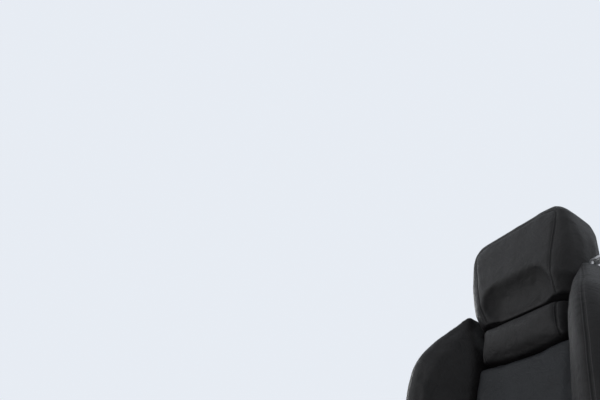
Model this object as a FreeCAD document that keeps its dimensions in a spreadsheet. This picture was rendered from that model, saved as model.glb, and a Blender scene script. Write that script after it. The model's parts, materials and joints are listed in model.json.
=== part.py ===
import FreeCAD, Part
import math
import os
import re
import Sketcher

# Front seat of an open two-seat car, driver's side, left-hand drive.
# Millimetres. The occupant faces -Y, +X is the door side, +Z is up.
# The origin is the centre of the four floor bolts, on the floor.

Vector = FreeCAD.Vector
document = FreeCAD.newDocument("seat")
sheet = document.addObject("Spreadsheet::Sheet", "Sizes")

# name, value, what it is
SIZES = (
    ("rail_inset", 12, "rails' centre planes inside the cushion side frames"),
    ("rail_length", 390, "lower rail"),
    ("rail_width", 44, "lower rail, outside"),
    ("rail_height", 28, "lower rail, outside"),
    ("rail_sheet", 2.5, "rail wall"),
    ("rail_slot", 16, "open slot along the lower rail's top"),
    ("lip_depth", 8, "turned-down lip beside the slot"),
    ("bolt_span", 430, "front to rear floor bolt"),
    ("bolt_hole", 11, "diameter of a floor bolt's hole"),
    ("foot_height", 22, "floor to the underside of the rail"),
    ("foot_sheet", 4, "foot plate"),
    ("foot_width", 40, "foot across the rail"),
    ("foot_reach", 20, "foot plate each side of its bolt"),
    ("foot_grip", 62, "length of a foot under its rail"),
    ("slide_gap", 0.6, "play between the two rails"),
    ("window_pitch", 14, "latch windows along the lower rail's top"),
    ("window_count", 18, "latch windows in each lower rail"),
    ("window_length", 8, "latch window, along the rail"),
    ("window_width", 6, "latch window, across the rail"),
    ("latch_middle", 10, "middle of the latch plate, along Y"),
    ("latch_teeth", 4, "teeth of each latch plate"),
    ("latch_sheet", 3, "latch plate"),
    ("latch_lift", 5, "released teeth above the windows"),
    ("tooth_play", 1.5, "tooth narrower and shorter than its window"),
    ("web_sheet", 6, "upright web of the upper rail"),
    ("web_rise", 16, "web above the lower rail"),
    ("upper_length", 384, "upper rail"),
    ("hook_sheet", 2.5, "wall of the upper rail's hooks"),
    ("hook_float", 3, "hooks above the lower rail's floor"),
    ("hook_clear", 1.5, "hooks under the lower rail's top"),
    ("pivot_front", -150, "front link pivot, along Y"),
    ("pivot_rear", 110, "rear link pivot, along Y"),
    ("pivot_height", 76, "link pivots above the floor"),
    ("lug_radius", 13.5, "round head of a pivot lug"),
    ("pin_diameter", 10, "link pin"),
    ("pin_play", 0.05, "radial play of a pin or tube in its hole"),
    ("side_play", 0.5, "gap between a lug and its link"),
    ("link_length", 70, "between a link's two centres"),
    ("link_sheet", 5, "link plate"),
    ("link_radius", 15, "link's head at the pin"),
    ("link_end", 19, "link's head at the cross tube"),
    ("link_angle", 20, "links above the horizontal, as stored"),
    ("link_slot", 9, "lightening slot between a link's heads"),
    ("rivet_radius", 8, "head of a link pin"),
    ("rivet_height", 2.2, "head of a link pin"),
    ("tube_diameter", 25, "cross tube, outside"),
    ("tube_wall", 2, "cross tube"),
    ("tube_end", 7, "cross tube past the inside of a side frame"),
    ("frame_spacing", 424, "between the cushion side frames, inside"),
    ("frame_sheet", 2.5, "cushion side frame"),
    ("frame_flange", 14, "turned-out edge of the side frame"),
    ("frame_hole", 36, "lightening holes of the side frame"),
    ("hole_rim", 4, "pressed rim of a lightening hole"),
    ("frame_clear", 6, "side frame's lower edge above the link pivots"),
    ("frame_nose", 12, "side frame ahead of the pan"),
    ("frame_corner", 24, "rounded lower front corner of the side frame"),
    ("frame_seam", 1, "between the side trims and the bolsters"),
    ("frame_ear", 46, "round rear end of the side frame about the backrest's axis"),
    ("pan_sheet", 1.5, "cushion pan"),
    ("pan_height", 132, "pan's flat top above the floor"),
    ("pan_rear", 195, "rear edge of the pan"),
    ("pan_bend", -60, "where the pan starts to rise"),
    ("pan_front", -240, "front edge of the pan"),
    ("pan_rise", 56, "rise of the pan to its front edge"),
    ("pan_lip", 34, "turned-down front edge of the pan"),
    ("pan_rib", 3, "half-round stiffening ribs under the pan"),
    ("pan_ribs", 5, "stiffening ribs"),
    ("pan_rib_pitch", 64, "between two ribs"),
    ("recline_y", 224, "backrest axis, along Y"),
    ("axis_drop", 18, "backrest axis under the centre cushion's rear edge"),
    ("recline_angle", 20.8, "backrest leaning back, as stored"),
    ("recliner_radius", 36, "recliner disc"),
    ("recliner_width", 15, "recliner disc"),
    ("hub_diameter", 24, "hub of the backrest arm in the disc"),
    ("arm_sheet", 4, "backrest arm"),
    ("arm_gap", 0.3, "between the arm and the recliner disc"),
    ("arm_slot_gap", 1.5, "each side of the arm in the shell's slot"),
    ("arm_height", 230, "backrest arm above the axis"),
    ("arm_head", 38, "round lower end of the arm about the axis"),
    ("arm_waist", 60, "where the arm widens into the shell, above the axis"),
    ("arm_corner", 14, "rounded upper corners of the arm"),
    ("panel_width", 230, "centre panels, between their seams"),
    ("panel_offset", 60, "backrest panel ahead of the axis"),
    ("back_plane", 8, "pads' flat rear face ahead of the axis"),
    ("barrel_gap", 17, "lower end of the backrest's foam inside the recliner discs"),
    ("panel_top", 486, "upper edge of the centre panel above the axis"),
    ("lumbar", 12, "bulge of the panel over the lumbar"),
    ("crease_gap", 5.5, "between the cushion and the backrest"),
    ("bolster_bottom", 66, "lower end of a backrest bolster"),
    ("shell_depth", 58, "back shell, front to rear"),
    ("shell_sheet", 3, "back shell"),
    ("shell_overhang", 26, "back shell beyond the side frames, each side"),
    ("shell_rounding", 14, "rounded rear edge of the shell"),
    ("recess_depth", 5, "recessed field of the shell's back"),
    ("recess_margin", 62, "that field inside the shell's sides"),
    ("recess_top", 470, "upper edge of that field above the axis"),
    ("recess_low", 96, "lower edge of that field"),
    ("shell_top", 562, "top of the back shell above the axis, under the headrest"),
    ("shoulder_top", 614, "top of the back shell's shoulders above the axis"),
    ("shoulder_gap", 12, "between the headrest's foot and the shoulders"),
    ("shoulder_round", 46, "outer corner of a shoulder"),
    ("shoulder_flat", 45, "level top of a shoulder"),
    ("notch_round", 12, "inner corner of a shoulder"),
    ("notch_slope", 6, "foot of the notch inside its top, each side"),
    ("tongue_gap", 9.7, "lower end of the shell inside the backrest arms"),
    ("tongue_bottom", 50, "lower end of the shell under the axis"),
    ("roll_bottom", 491, "lower edge of the neck roll"),
    ("roll_top", 568, "upper edge of the neck roll"),
    ("roll_width", 214, "neck roll"),
    ("roll_front", 76, "neck roll's face ahead of the axis"),
    ("roll_sag", 12, "neck roll's lower edge, middle under its ends"),
    ("roll_corner", 38, "neck roll's upright corners"),
    ("head_base", 575, "underside of the headrest above the axis"),
    ("head_height", 210, "headrest"),
    ("head_width", 272, "headrest at its widest"),
    ("head_foot", 250, "headrest at its underside"),
    ("head_front", 84, "headrest's face ahead of the axis"),
    ("head_depth", 101, "headrest, front to rear"),
    ("head_undercut", 22, "headrest's face turned under at its foot"),
    ("scoop_radius", 70, "hollow across the headrest's lower face"),
    ("scoop_ahead", 38, "that hollow's axis ahead of the face"),
    ("scoop_up", 15, "that hollow's axis above the underside"),
    ("scoop_half", 40, "half length of that hollow's straight run"),
    ("post_spacing", 140, "between the two headrest posts"),
    ("post_diameter", 12, "headrest post"),
    ("post_plane", 7, "posts behind the axis plane"),
    ("post_bottom", 425, "lower end of the posts above the axis"),
    ("post_grip", 89, "posts inside the headrest"),
    ("sleeve_length", 60, "guide sleeve under its collar"),
    ("sleeve_radius", 9.5, "post guide sleeve, outside"),
    ("sleeve_play", 0.1, "radial play of a post in its sleeve"),
    ("collar_radius", 14, "collar of a guide sleeve"),
    ("collar_height", 6, "collar of a guide sleeve"),
    ("notch_count", 4, "height notches in the outboard post"),
    ("notch_pitch", 20, "between two height notches"),
    ("notch_depth", 2, "height notch"),
    ("cushion_rear_height", 258, "centre cushion at its rear, above the floor"),
    ("cushion_front_height", 312, "centre cushion at its front"),
    ("cushion_nose", -352, "front of the cushion, along Y"),
    ("bolster_overhang", 46, "cushion bolster beyond the side frame"),
    ("bolster_rise", 46, "cushion bolster above the centre"),
    ("bolster_foot", 174, "underside of a cushion bolster at its rear"),
    ("bolster_foot_rise", 24, "rise of that underside to the front"),
    ("trim_sheet", 2.5, "plastic side trim"),
    ("trim_depth", 16, "side trim, across"),
    ("trim_margin", 5, "side trim beyond the side frame, all round"),
    ("trim_rounding", 4, "rounded outer edge of the side trim"),
    ("lever_sheet", 11, "levers"),
    ("lever_length", 120, "recline lever from its pivot"),
    ("lever_extra", 25, "height lever longer than the recline lever"),
    ("lever_head", 18, "round head of a lever at its pivot"),
    ("lever_tip", 12, "half width of a lever at its tip"),
    ("lever_seat", 2, "raised seat on the trim under a lever's head"),
    ("lever_tilt", 176, "levers turned from straight back, in the side view"),
    ("lever_rounding", 3.5, "rounded outer edges of a lever"),
    ("height_lever_y", -12, "height lever's pivot, along Y"),
    ("height_lever_up", 2, "that pivot above the pan"),
    ("recline_lever_y", 168, "recline lever's pivot, along Y"),
    ("recline_lever_up", 6, "that pivot above the pan"),
    ("buckle_gap", 3.5, "between the cushion bolster and the buckle stalk"),
    ("guide_inset", 68, "belt guide inside the shell's side"),
    ("guide_rise", 20, "middle of the guide's loop above the shoulders"),
    ("guide_ahead", 34, "guide's loop ahead of the backrest's axis"),
    ("guide_sheet", 5, "belt guide's steel"),
    ("loop_width", 58, "belt guide's loop"),
    ("loop_height", 26, "belt guide's loop"),
    ("stem_width", 18, "belt guide's stem"),
    ("stem_reach", 90, "belt guide's stem down the shell's back"),
    ("latch_bar_diameter", 12, "adjusting bar under the cushion's front"),
    ("latch_bar_bend", 30, "bend radius of the adjusting bar"),
    ("latch_bar_grip", 16, "bar welded along the web, at each end"),
    ("latch_bar_reach", 36, "bar ahead of the pan"),
    ("latch_bar_drop", 4, "bar's centre line under the web's top"),
    ("buckle_sheet", 3, "buckle stalk"),
    ("buckle_width", 28, "buckle stalk"),
    ("stalk_y", 118, "buckle stalk, along Y"),
    ("stalk_foot", 106, "lower end of the stalk above the floor"),
    ("stalk_length", 176, "buckle stalk, its height"),
    ("stalk_bend", 24, "first bend of the stalk above its foot"),
    ("buckle_height", 70, "buckle"),
    ("buckle_depth", 22, "buckle, across the seat"),
    ("buckle_back", 8, "buckle's face inside the stalk's plane"),
    ("buckle_cheek", 7, "buckle beyond the stalk, each side"),
    ("buckle_wall", 2, "walls beside the mouth and the button"),
    ("buckle_grip", 26, "stalk's end inside the buckle"),
    ("tongue_slot", 26, "mouth for the belt's tongue"),
    ("mouth_height", 6, "mouth for the belt's tongue, across the seat"),
    ("mouth_depth", 34, "mouth for the belt's tongue, down the buckle"),
    ("button_depth", 8, "release button, across the seat"),
    ("button_travel", 10, "well under the release button"),
    ("button_gap", 0.4, "round the release button"),
)

# Places worked out from the sizes, as expressions.
PLACES = {
    "rail_x": "frame_spacing/2 - rail_inset",
    "recline_z": "cushion_rear_height - axis_drop",
    "rail_top": "foot_height + rail_height",
    "web_top": "foot_height + rail_height + web_rise",
    "flange_low": "foot_height + rail_sheet + hook_float",
    "hook_half": "rail_width/2 - rail_sheet - slide_gap",
    "link_x": "rail_x - web_sheet/2 - side_play - link_sheet/2",
    "frame_x": "frame_spacing/2",
    "tube_run_y": "link_length*cos(link_angle)",
    "tube_rise": "link_length*sin(link_angle)",
    "tube_hole": "tube_diameter/2 + pin_play",
    "flange_out": "frame_spacing/2 + frame_flange",
    "arm_x": "frame_spacing/2 - recliner_width - arm_gap - arm_sheet/2",
    "pan_front_height": "pan_height + pan_rise",
    "cushion_half": "frame_spacing/2 + bolster_overhang",
    "shell_half": "frame_spacing/2 + shell_overhang",
    "barrel_half": "frame_spacing/2 - recliner_width - barrel_gap",
    "tongue_half": "arm_x - arm_sheet/2 - tongue_gap",
    "notch_half": "head_foot/2 + shoulder_gap",
    "shoulder_run": "shell_half - notch_half",
    "guide_x": "shell_half - guide_inset",
    "stalk_reach": "bolster_overhang - frame_flange - trim_sheet + buckle_gap",
    "height_lever_z": "pan_height + height_lever_up",
    "recline_lever_z": "pan_height + recline_lever_up",
    "post_x": "post_spacing/2",
    "shell_inside": "shell_depth - back_plane - shell_sheet",
}

SIDES = (("outboard", 1), ("inboard", -1))

UP, AHEAD, ACROSS = Vector(0, 0, 1), Vector(0, -1, 0), Vector(1, 0, 0)
SIDE_VIEW = FreeCAD.Rotation(Vector(0, 1, 0), UP, ACROSS, "XYZ")
FRONT_VIEW = FreeCAD.Rotation(ACROSS, UP, AHEAD, "XYZ")


def bound(text):
    """Expression in which every size name points at the sheet."""
    def word(match):
        name = match[0]
        if name in PLACES:
            return "(" + bound(PLACES[name]) + ")"
        return "Sizes." + name if name in NAMES else name
    return re.sub(r"[a-z_][a-z0-9_]*", word, str(text))


def number(text):
    """Value of an expression over the size names."""
    result = sheet.evalExpression(bound(text))
    return float(getattr(result, "Value", result))


for row, (name, value, meaning) in enumerate(SIZES, start=1):
    sheet.set(f"A{row}", meaning)
    sheet.set(f"B{row}", str(value))
    sheet.setAlias(f"B{row}", name)
NAMES = {name for name, value, meaning in SIZES}
document.recompute()

pieces = []


def body(label):
    """New sub-part, exported under its label."""
    piece = document.addObject("PartDesign::Body", label)
    piece.Label = label
    pieces.append(piece)
    return piece


def set_place(piece, x="0", y="0", z="0", tilt=None):
    """Bind a sub-part's place; tilt turns it about X, in degrees."""
    if tilt is not None:
        angle = number(tilt)
        piece.Placement = FreeCAD.Placement(Vector(), FreeCAD.Rotation(Vector(1, 0, 0), angle or 1e-6))
        piece.setExpression("Placement.Rotation.Angle", bound(tilt) if angle else None)
    for axis, text in zip("xyz", (x, y, z)):
        piece.setExpression(f"Placement.Base.{axis}", bound(text))


def on_backrest(piece, x="0"):
    """Place a sub-part drawn upright about the backrest's axis."""
    piece.Placement = FreeCAD.Placement(Vector(), FreeCAD.Rotation(Vector(-1, 0, 0), number("recline_angle")))
    piece.setExpression("Placement.Rotation.Angle", bound("recline_angle"))
    for axis, text in zip("xyz", (x, "recline_y", "recline_z")):
        piece.setExpression(f"Placement.Base.{axis}", bound(text))


def round_face(piece, way, radius):
    """Fillet the edges of the sub-part's face that lies furthest along a direction."""
    document.recompute()
    base = piece.Tip
    rim, edges = far_edges(base.Shape, way), base.Shape.Edges
    names = [f"Edge{i}" for i, edge in enumerate(edges, start=1) if any(edge.isSame(other) for other in rim)]
    rounding = piece.newObject("PartDesign::Fillet", piece.Label + "_rounding")
    rounding.Base = (base, names)
    rounding.setExpression("Radius", bound(radius))


def sketch_on(piece, role, name, offset="0"):
    """Sketch on one of the sub-part's own origin planes, moved along its normal."""
    plane = next(item for item in piece.Origin.OriginFeatures if item.Role == role)
    sketch = piece.newObject("Sketcher::SketchObject", name)
    sketch.AttachmentSupport = [(plane, "")]
    sketch.MapMode = "FlatFace"
    sketch.setExpression("AttachmentOffset.Base.z", bound(offset))
    return sketch


def pin_down(sketch, geometry, point, x, y):
    """Fix a sketch point at expressions measured from the origin."""
    for kind, text in (("DistanceX", x), ("DistanceY", y)):
        index = sketch.addConstraint(Sketcher.Constraint(kind, -1, 1, geometry, point, number(text)))
        sketch.setExpression(f"Constraints[{index}]", bound(text))


def draw_circle(sketch, x, y, radius):
    """Circle with its centre and radius bound to the sheet."""
    centre = Vector(number(x), number(y), 0)
    circle = sketch.addGeometry(Part.Circle(centre, Vector(0, 0, 1), number(radius)), False)
    pin_down(sketch, circle, 3, x, y)
    index = sketch.addConstraint(Sketcher.Constraint("Radius", circle, number(radius)))
    sketch.setExpression(f"Constraints[{index}]", bound(radius))


def draw_corners(sketch, corners, closed=True):
    """Lines through (x, y) or (x, y, corner radius), all expressions, as an outline or an open route."""
    points = [Vector(number(corner[0]), number(corner[1]), 0) for corner in corners]
    count = len(points)
    starts, ends, arcs = list(points), list(points), {}
    for i, corner in enumerate(corners):
        if len(corner) == 3:
            radius = number(corner[2])
            before = (points[i - 1] - points[i]).normalize()
            after = (points[(i + 1) % count] - points[i]).normalize()
            half = before.getAngle(after) / 2
            reach = radius / math.tan(half)
            ends[i] = points[i] + before * reach
            starts[i] = points[i] + after * reach
            middle = (before + after).normalize()
            centre = points[i] + middle * (radius / math.sin(half))
            angles = [math.atan2(point.y - centre.y, point.x - centre.x) for point in (ends[i], starts[i])]
            if (angles[1] - angles[0]) % (2 * math.pi) > math.pi:
                angles.reverse()
            circle = Part.Circle(centre, Vector(0, 0, 1), radius)
            arcs[i] = Part.ArcOfCircle(circle, angles[0], angles[0] + (angles[1] - angles[0]) % (2 * math.pi))
    lines = [sketch.addGeometry(Part.LineSegment(starts[i], ends[(i + 1) % count]), False)
             for i in range(count if closed else count - 1)]
    if not closed:
        pin_down(sketch, lines[0], 1, *corners[0])
        pin_down(sketch, lines[-1], 2, *corners[-1])
    for i in range(count) if closed else range(1, count - 1):
        x, y = corners[i][:2]
        previous, following = lines[i - 1], lines[i]
        if i not in arcs:
            sketch.addConstraint(Sketcher.Constraint("Coincident", previous, 2, following, 1))
            pin_down(sketch, following, 1, x, y)
            continue
        arc = sketch.addGeometry(arcs[i], False)
        turned = (sketch.Geometry[arc].StartPoint - starts[i]).Length < 1e-6
        first, last = (2, 1) if turned else (1, 2)
        apex = sketch.addGeometry(Part.Point(points[i]), True)
        pin_down(sketch, apex, 1, x, y)
        sketch.addConstraint(Sketcher.Constraint("PointOnObject", apex, 1, previous))
        sketch.addConstraint(Sketcher.Constraint("PointOnObject", apex, 1, following))
        sketch.addConstraint(Sketcher.Constraint("Tangent", previous, 2, arc, first))
        sketch.addConstraint(Sketcher.Constraint("Tangent", following, 1, arc, last))
        index = sketch.addConstraint(Sketcher.Constraint("Radius", arc, number(corners[i][2])))
        sketch.setExpression(f"Constraints[{index}]", bound(corners[i][2]))


def pad(piece, sketch, length, both=False, back=False):
    """Pad of a sketch: both ways from its plane, or back against its normal."""
    feature = piece.newObject("PartDesign::Pad", sketch.Name + "_pad")
    feature.Profile = sketch
    feature.SideType = "Symmetric" if both else "One side"
    feature.Reversed = back
    feature.setExpression("Length", bound(length))
    return feature


def cut(piece, sketch, depth):
    """Pocket of a sketch both ways through the piece."""
    feature = piece.newObject("PartDesign::Pocket", sketch.Name + "_cut")
    feature.Profile = sketch
    feature.SideType = "Symmetric"
    feature.setExpression("Length", bound(depth))
    return feature


def draw_block(sketch, x, y, width, height):
    """Rectangle about a centre."""
    draw_corners(sketch, (
        (f"({x}) - ({width})/2", f"({y}) - ({height})/2"),
        (f"({x}) + ({width})/2", f"({y}) - ({height})/2"),
        (f"({x}) + ({width})/2", f"({y}) + ({height})/2"),
        (f"({x}) - ({width})/2", f"({y}) + ({height})/2"),
    ))


def in_row(piece, feature, sketch, pitch, count, axis="V_Axis"):
    """Repeat a feature along its sketch's upright or level axis."""
    row = piece.newObject("PartDesign::LinearPattern", feature.Name + "_row")
    row.Originals = [feature]
    row.Direction = (sketch, [axis])
    row.setExpression("Length", bound(f"({pitch})*({count} - 1)"))
    row.setExpression("Occurrences", bound(count))
    piece.Tip = row


def plate(label, corners, thickness, holes=()):
    """Flat piece drawn in the side view, centred on its own middle plane."""
    piece = body(label)
    outline = sketch_on(piece, "YZ_Plane", label + "_outline")
    draw_corners(outline, corners)
    pad(piece, outline, thickness, both=True)
    for index, (y, z, radius) in enumerate(holes):
        hole = sketch_on(piece, "YZ_Plane", f"{label}_hole{index}")
        draw_circle(hole, y, z, radius)
        cut(piece, hole, "6*(" + thickness + ")")
    return piece


def tube(label, length, y, z):
    """Cross tube centred on the middle plane of the seat."""
    piece = body(label)
    ring = sketch_on(piece, "YZ_Plane", label + "_ring")
    draw_circle(ring, "0", "0", "tube_diameter/2")
    draw_circle(ring, "0", "0", "tube_diameter/2 - tube_wall")
    pad(piece, ring, length, both=True)
    set_place(piece, "0", y, z)
    return piece


def bent_bar(label, plane, corners, diameter):
    """Round bar bent along an open route on an origin plane, which starts along Y or Z."""
    piece = body(label)
    route = sketch_on(piece, plane, label + "_route")
    draw_corners(route, corners, closed=False)
    across = "XZ_Plane" if plane == "XY_Plane" else "XY_Plane"
    offset = f"-({corners[0][1]})" if across == "XZ_Plane" else corners[0][1]
    section = sketch_on(piece, across, label + "_section", offset)
    draw_circle(section, corners[0][0], "0", diameter + "/2")
    sweep = piece.newObject("PartDesign::AdditivePipe", label + "_sweep")
    sweep.Profile = section
    sweep.Spine = (route, [])
    return piece


def solid(label, shape):
    """Sub-part whose shape is set directly."""
    piece = document.addObject("Part::Feature", label)
    piece.Label = label
    piece.Shape = shape
    pieces.append(piece)
    return piece


def flat_outline(name, turn, corners):
    """Closed outline of a sketch that lies in a turned plane through the origin."""
    outline = document.addObject("Sketcher::SketchObject", name)
    outline.Placement = FreeCAD.Placement(Vector(), turn)
    draw_corners(outline, corners)
    document.recompute()
    return outline.Shape


def dished(label, turn, corners, depth, wall, way=1, start="0", round_edge="0", field=None, sunk="0"):
    """Pressing or moulding: a sketched outline given depth along its normal, or against it,
    and hollowed to one wall, which stays closed at the start. A field in the closed face may
    be sunk at the same wall."""
    outline = flat_outline(label + "_outline", turn, corners)
    thickness, normal = number(wall), turn.multVec(UP) * way
    rounding = number(round_edge)
    outside = Part.Face(outline).extrude(normal * number(depth))
    hollow = Part.Face(outline.makeOffset2D(-thickness)).extrude(normal * number(depth))
    if rounding:
        outside = outside.makeFillet(rounding, far_edges(outside, normal * -1))
        hollow = hollow.makeFillet(rounding - thickness, far_edges(hollow, normal * -1))
    if field:
        sunk_outline = flat_outline(label + "_field", turn, field)
        blocks = [Part.Face(edge).extrude(normal * number(sunk))
                  for edge in (sunk_outline, sunk_outline.makeOffset2D(thickness))]
        blocks = [block.makeFillet(number(sunk) * 0.8, far_edges(block, normal)) for block in blocks]
        outside, hollow = outside.cut(blocks[0]), hollow.cut(blocks[1])
    hollow.translate(normal * thickness)
    moulding = outside.cut(hollow)
    moulding.translate(normal * number(start))
    return solid(label, moulding)


def far_edges(shape, way):
    """Edges of the face that lies furthest along a direction."""
    face = max(shape.Faces, key=lambda item: item.CenterOfMass.dot(way))
    return face.Edges


def mirrored(corners):
    """Symmetrical run of corners from its first half."""
    return list(corners) + [("-(" + corner[0] + ")",) + tuple(corner[1:]) for corner in reversed(corners)]


def window_x(sign):
    """Expression for the row of latch windows, midway between lip and wall on the outer side."""
    return f"{sign}*(rail_slot + rail_width)/4"


# Lower rail: a C channel whose lips turn in and down beside the slot, with a row of windows
# for the latch along its top.
for side, sign in SIDES:
    rail = body("lower_rail_" + side)
    section = sketch_on(rail, "XZ_Plane", f"lower_rail_{side}_section")
    lip_low = "rail_top - rail_sheet - lip_depth"
    draw_corners(section, mirrored((
        ("rail_slot/2", lip_low),
        ("rail_slot/2", "rail_top"),
        ("rail_width/2", "rail_top"),
        ("rail_width/2", "foot_height"),
    )) + mirrored((
        ("-(rail_slot/2 + rail_sheet)", lip_low),
        ("-(rail_slot/2 + rail_sheet)", "rail_top - rail_sheet"),
        ("-(rail_width/2 - rail_sheet)", "rail_top - rail_sheet"),
        ("-(rail_width/2 - rail_sheet)", "foot_height + rail_sheet"),
    )))
    pad(rail, section, "rail_length", both=True)
    window = sketch_on(rail, "XY_Plane", f"lower_rail_{side}_window", "rail_top")
    first = "latch_middle - (window_count - 1)*window_pitch/2"
    draw_block(window, window_x(sign), first, "window_width", "window_length")
    in_row(rail, cut(rail, window, "4*rail_sheet"), window, "window_pitch", "window_count")
    set_place(rail, f"{sign}*rail_x")

# Foot: a pressed step from the floor plate, with its bolt hole, to the rail's underside.
for end, way in (("front", 1), ("rear", -1)):
    for side, sign in SIDES:
        foot = body(f"foot_{end}_{side}")
        step = sketch_on(foot, "YZ_Plane", f"foot_{end}_{side}_step")
        draw_corners(step, (
            ("-foot_reach", "0"),
            ("foot_reach", "0"),
            ("foot_reach + foot_height/2", "foot_height - foot_sheet"),
            ("foot_reach + foot_grip", "foot_height - foot_sheet"),
            ("foot_reach + foot_grip", "foot_height"),
            ("foot_reach + foot_height/2 - foot_sheet/2", "foot_height"),
            ("foot_reach - foot_sheet/2", "foot_sheet"),
            ("-foot_reach", "foot_sheet"),
        ))
        pad(foot, step, "foot_width", both=True)
        tip = sketch_on(foot, "XY_Plane", f"foot_{end}_{side}_tip")
        for across in ("foot_width/2", "-foot_width/2"):
            draw_corners(tip, (
                (across, "-foot_reach"),
                (f"({across})*0.55", "-foot_reach"),
                (across, "-foot_reach*0.4"),
            ))
        cut(foot, tip, "4*foot_sheet")
        hole = sketch_on(foot, "XY_Plane", f"foot_{end}_{side}_hole")
        draw_circle(hole, "0", "0", "bolt_hole/2")
        cut(foot, hole, "4*foot_sheet")
        foot.Placement = FreeCAD.Placement(Vector(), FreeCAD.Rotation(Vector(0, 0, 1), 0 if way > 0 else 180))
        foot.setExpression("Placement.Base.x", bound(f"{sign}*rail_x"))
        foot.setExpression("Placement.Base.y", bound(f"{-way}*bolt_span/2"))

# Upper rail: hooks that run under the lips, a web through the slot, two pivot lugs and the
# latch, a plate whose teeth drop into the windows, drawn lifted as when the bar is pulled.
for side, sign in SIDES:
    rail = body("upper_rail_" + side)
    section = sketch_on(rail, "XZ_Plane", f"upper_rail_{side}_section")
    draw_corners(section, mirrored((
        ("web_sheet/2", "web_top"),
        ("web_sheet/2", "flange_low + hook_sheet"),
        ("hook_half - hook_sheet", "flange_low + hook_sheet"),
        ("hook_half - hook_sheet", "rail_top - rail_sheet - hook_clear"),
        ("hook_half", "rail_top - rail_sheet - hook_clear"),
        ("hook_half", "flange_low"),
    )))
    pad(rail, section, "upper_length", both=True)
    for end in ("front", "rear"):
        lug = sketch_on(rail, "YZ_Plane", f"upper_rail_{side}_lug_{end}")
        pivot = "pivot_" + end
        draw_corners(lug, (
            (pivot + " - 2*lug_radius", "web_top - web_sheet/3"),
            (pivot + " + 2*lug_radius", "web_top - web_sheet/3"),
            (pivot + " + lug_radius", "pivot_height + lug_radius", "lug_radius*0.85"),
            (pivot + " - lug_radius", "pivot_height + lug_radius", "lug_radius*0.85"),
        ))
        pad(rail, lug, "web_sheet", both=True)
        hole = sketch_on(rail, "YZ_Plane", f"upper_rail_{side}_pin_{end}")
        draw_circle(hole, pivot, "pivot_height", "pin_diameter/2 + pin_play")
        cut(rail, hole, "2*web_sheet")
    latch = sketch_on(rail, "XY_Plane", f"upper_rail_{side}_latch", "rail_top + 2*latch_lift")
    reach = f"({window_x(sign)} + {sign}*window_width/2)"
    draw_block(latch, reach + "/2", "latch_middle", f"abs({reach})", "latch_teeth*window_pitch")
    pad(rail, latch, "latch_sheet")
    tooth = sketch_on(rail, "XY_Plane", f"upper_rail_{side}_tooth", "rail_top + latch_lift")
    first = "latch_middle - (latch_teeth - 1)*window_pitch/2"
    draw_block(tooth, window_x(sign), first, "window_width - tooth_play", "window_length - tooth_play")
    in_row(rail, pad(rail, tooth, "latch_lift + latch_sheet/2"), tooth, "window_pitch", "latch_teeth")
    set_place(rail, f"{sign}*rail_x")

# Adjusting bar: one round bar that lifts both rail latches.
bar_x = "(rail_x - web_sheet/2 - latch_bar_diameter/2)"
bar = bent_bar("latch_bar", "XY_Plane", (
    ("-" + bar_x, "-upper_length/2 + latch_bar_grip"),
    ("-" + bar_x, "pan_front - latch_bar_reach", "latch_bar_bend"),
    (bar_x, "pan_front - latch_bar_reach", "latch_bar_bend"),
    (bar_x, "-upper_length/2 + latch_bar_grip"),
), "latch_bar_diameter")
set_place(bar, z="web_top - latch_bar_drop")

# Height links: four plates on two cross tubes, each turning on a pin in its rail's lug.
for end in ("front", "rear"):
    for side, sign in SIDES:
        link = plate(f"link_{end}_{side}", (
            ("-link_radius", "-link_radius", "link_radius*0.95"),
            ("link_length + link_end", "-link_end", "link_end*0.95"),
            ("link_length + link_end", "link_end", "link_end*0.95"),
            ("-link_radius", "link_radius", "link_radius*0.95"),
        ), "link_sheet", (("link_length", "0", "tube_diameter/2"),))
        slot = sketch_on(link, "YZ_Plane", f"link_{end}_{side}_slot")
        low, high = "link_radius + link_slot/2", "link_length - tube_diameter/2 - link_slot"
        draw_corners(slot, (
            (low, "-link_slot/2", "link_slot*0.45"),
            (high, "-link_slot/2", "link_slot*0.45"),
            (high, "link_slot/2", "link_slot*0.45"),
            (low, "link_slot/2", "link_slot*0.45"),
        ))
        cut(link, slot, "2*link_sheet")
        pin_end = "link_sheet/2 + 2*side_play + web_sheet"
        pin = sketch_on(link, "YZ_Plane", f"link_{end}_{side}_pin")
        draw_circle(pin, "0", "0", "pin_diameter/2")
        pad(link, pin, pin_end + " + rivet_height/2", back=sign < 0)
        rivet = sketch_on(link, "YZ_Plane", f"link_{end}_{side}_rivet", f"{sign}*({pin_end})")
        draw_circle(rivet, "0", "0", "rivet_radius")
        pad(link, rivet, "rivet_height", back=sign < 0)
        set_place(link, f"{sign}*link_x", "pivot_" + end, "pivot_height", "link_angle")
    tube("cross_tube_" + end, "frame_spacing + 2*tube_end", f"pivot_{end} + tube_run_y",
         "pivot_height + tube_rise")


def foot_line(y):
    """Expression for the height of the split between the cushion's base and its bolsters."""
    return f"bolster_foot + bolster_foot_rise*(recline_y - ({y}))/(recline_y - cushion_nose)"


def side_outline(margin):
    """Side view of the cushion's side frame, grown by a margin."""
    ear = f"(frame_ear + {margin})"
    under = f"pivot_height + frame_clear - ({margin})"
    front = f"pan_front - frame_nose - ({margin})"
    rear = f"recline_y - 1.1*{ear}"
    seam = f" - frame_seam - trim_margin + ({margin})"
    return (
        ("pan_front + 1.2*frame_corner", under, "frame_corner"),
        ("recline_y - frame_ear/4", under, "1.2*frame_corner"),
        (f"recline_y + {ear}", "recline_z - 2*frame_ear", "1.7*frame_corner"),
        (f"recline_y + {ear}", f"recline_z + {ear}", f"{ear}*0.98"),
        (f"recline_y - {ear}", f"recline_z + {ear}", f"{ear}*0.98"),
        (rear, foot_line(rear) + seam, "frame_corner/3"),
        (front, foot_line(front) + seam, f"0.6*frame_corner + ({margin})"),
        (front, "pan_height - frame_corner/6", "frame_corner"),
    )


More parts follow.
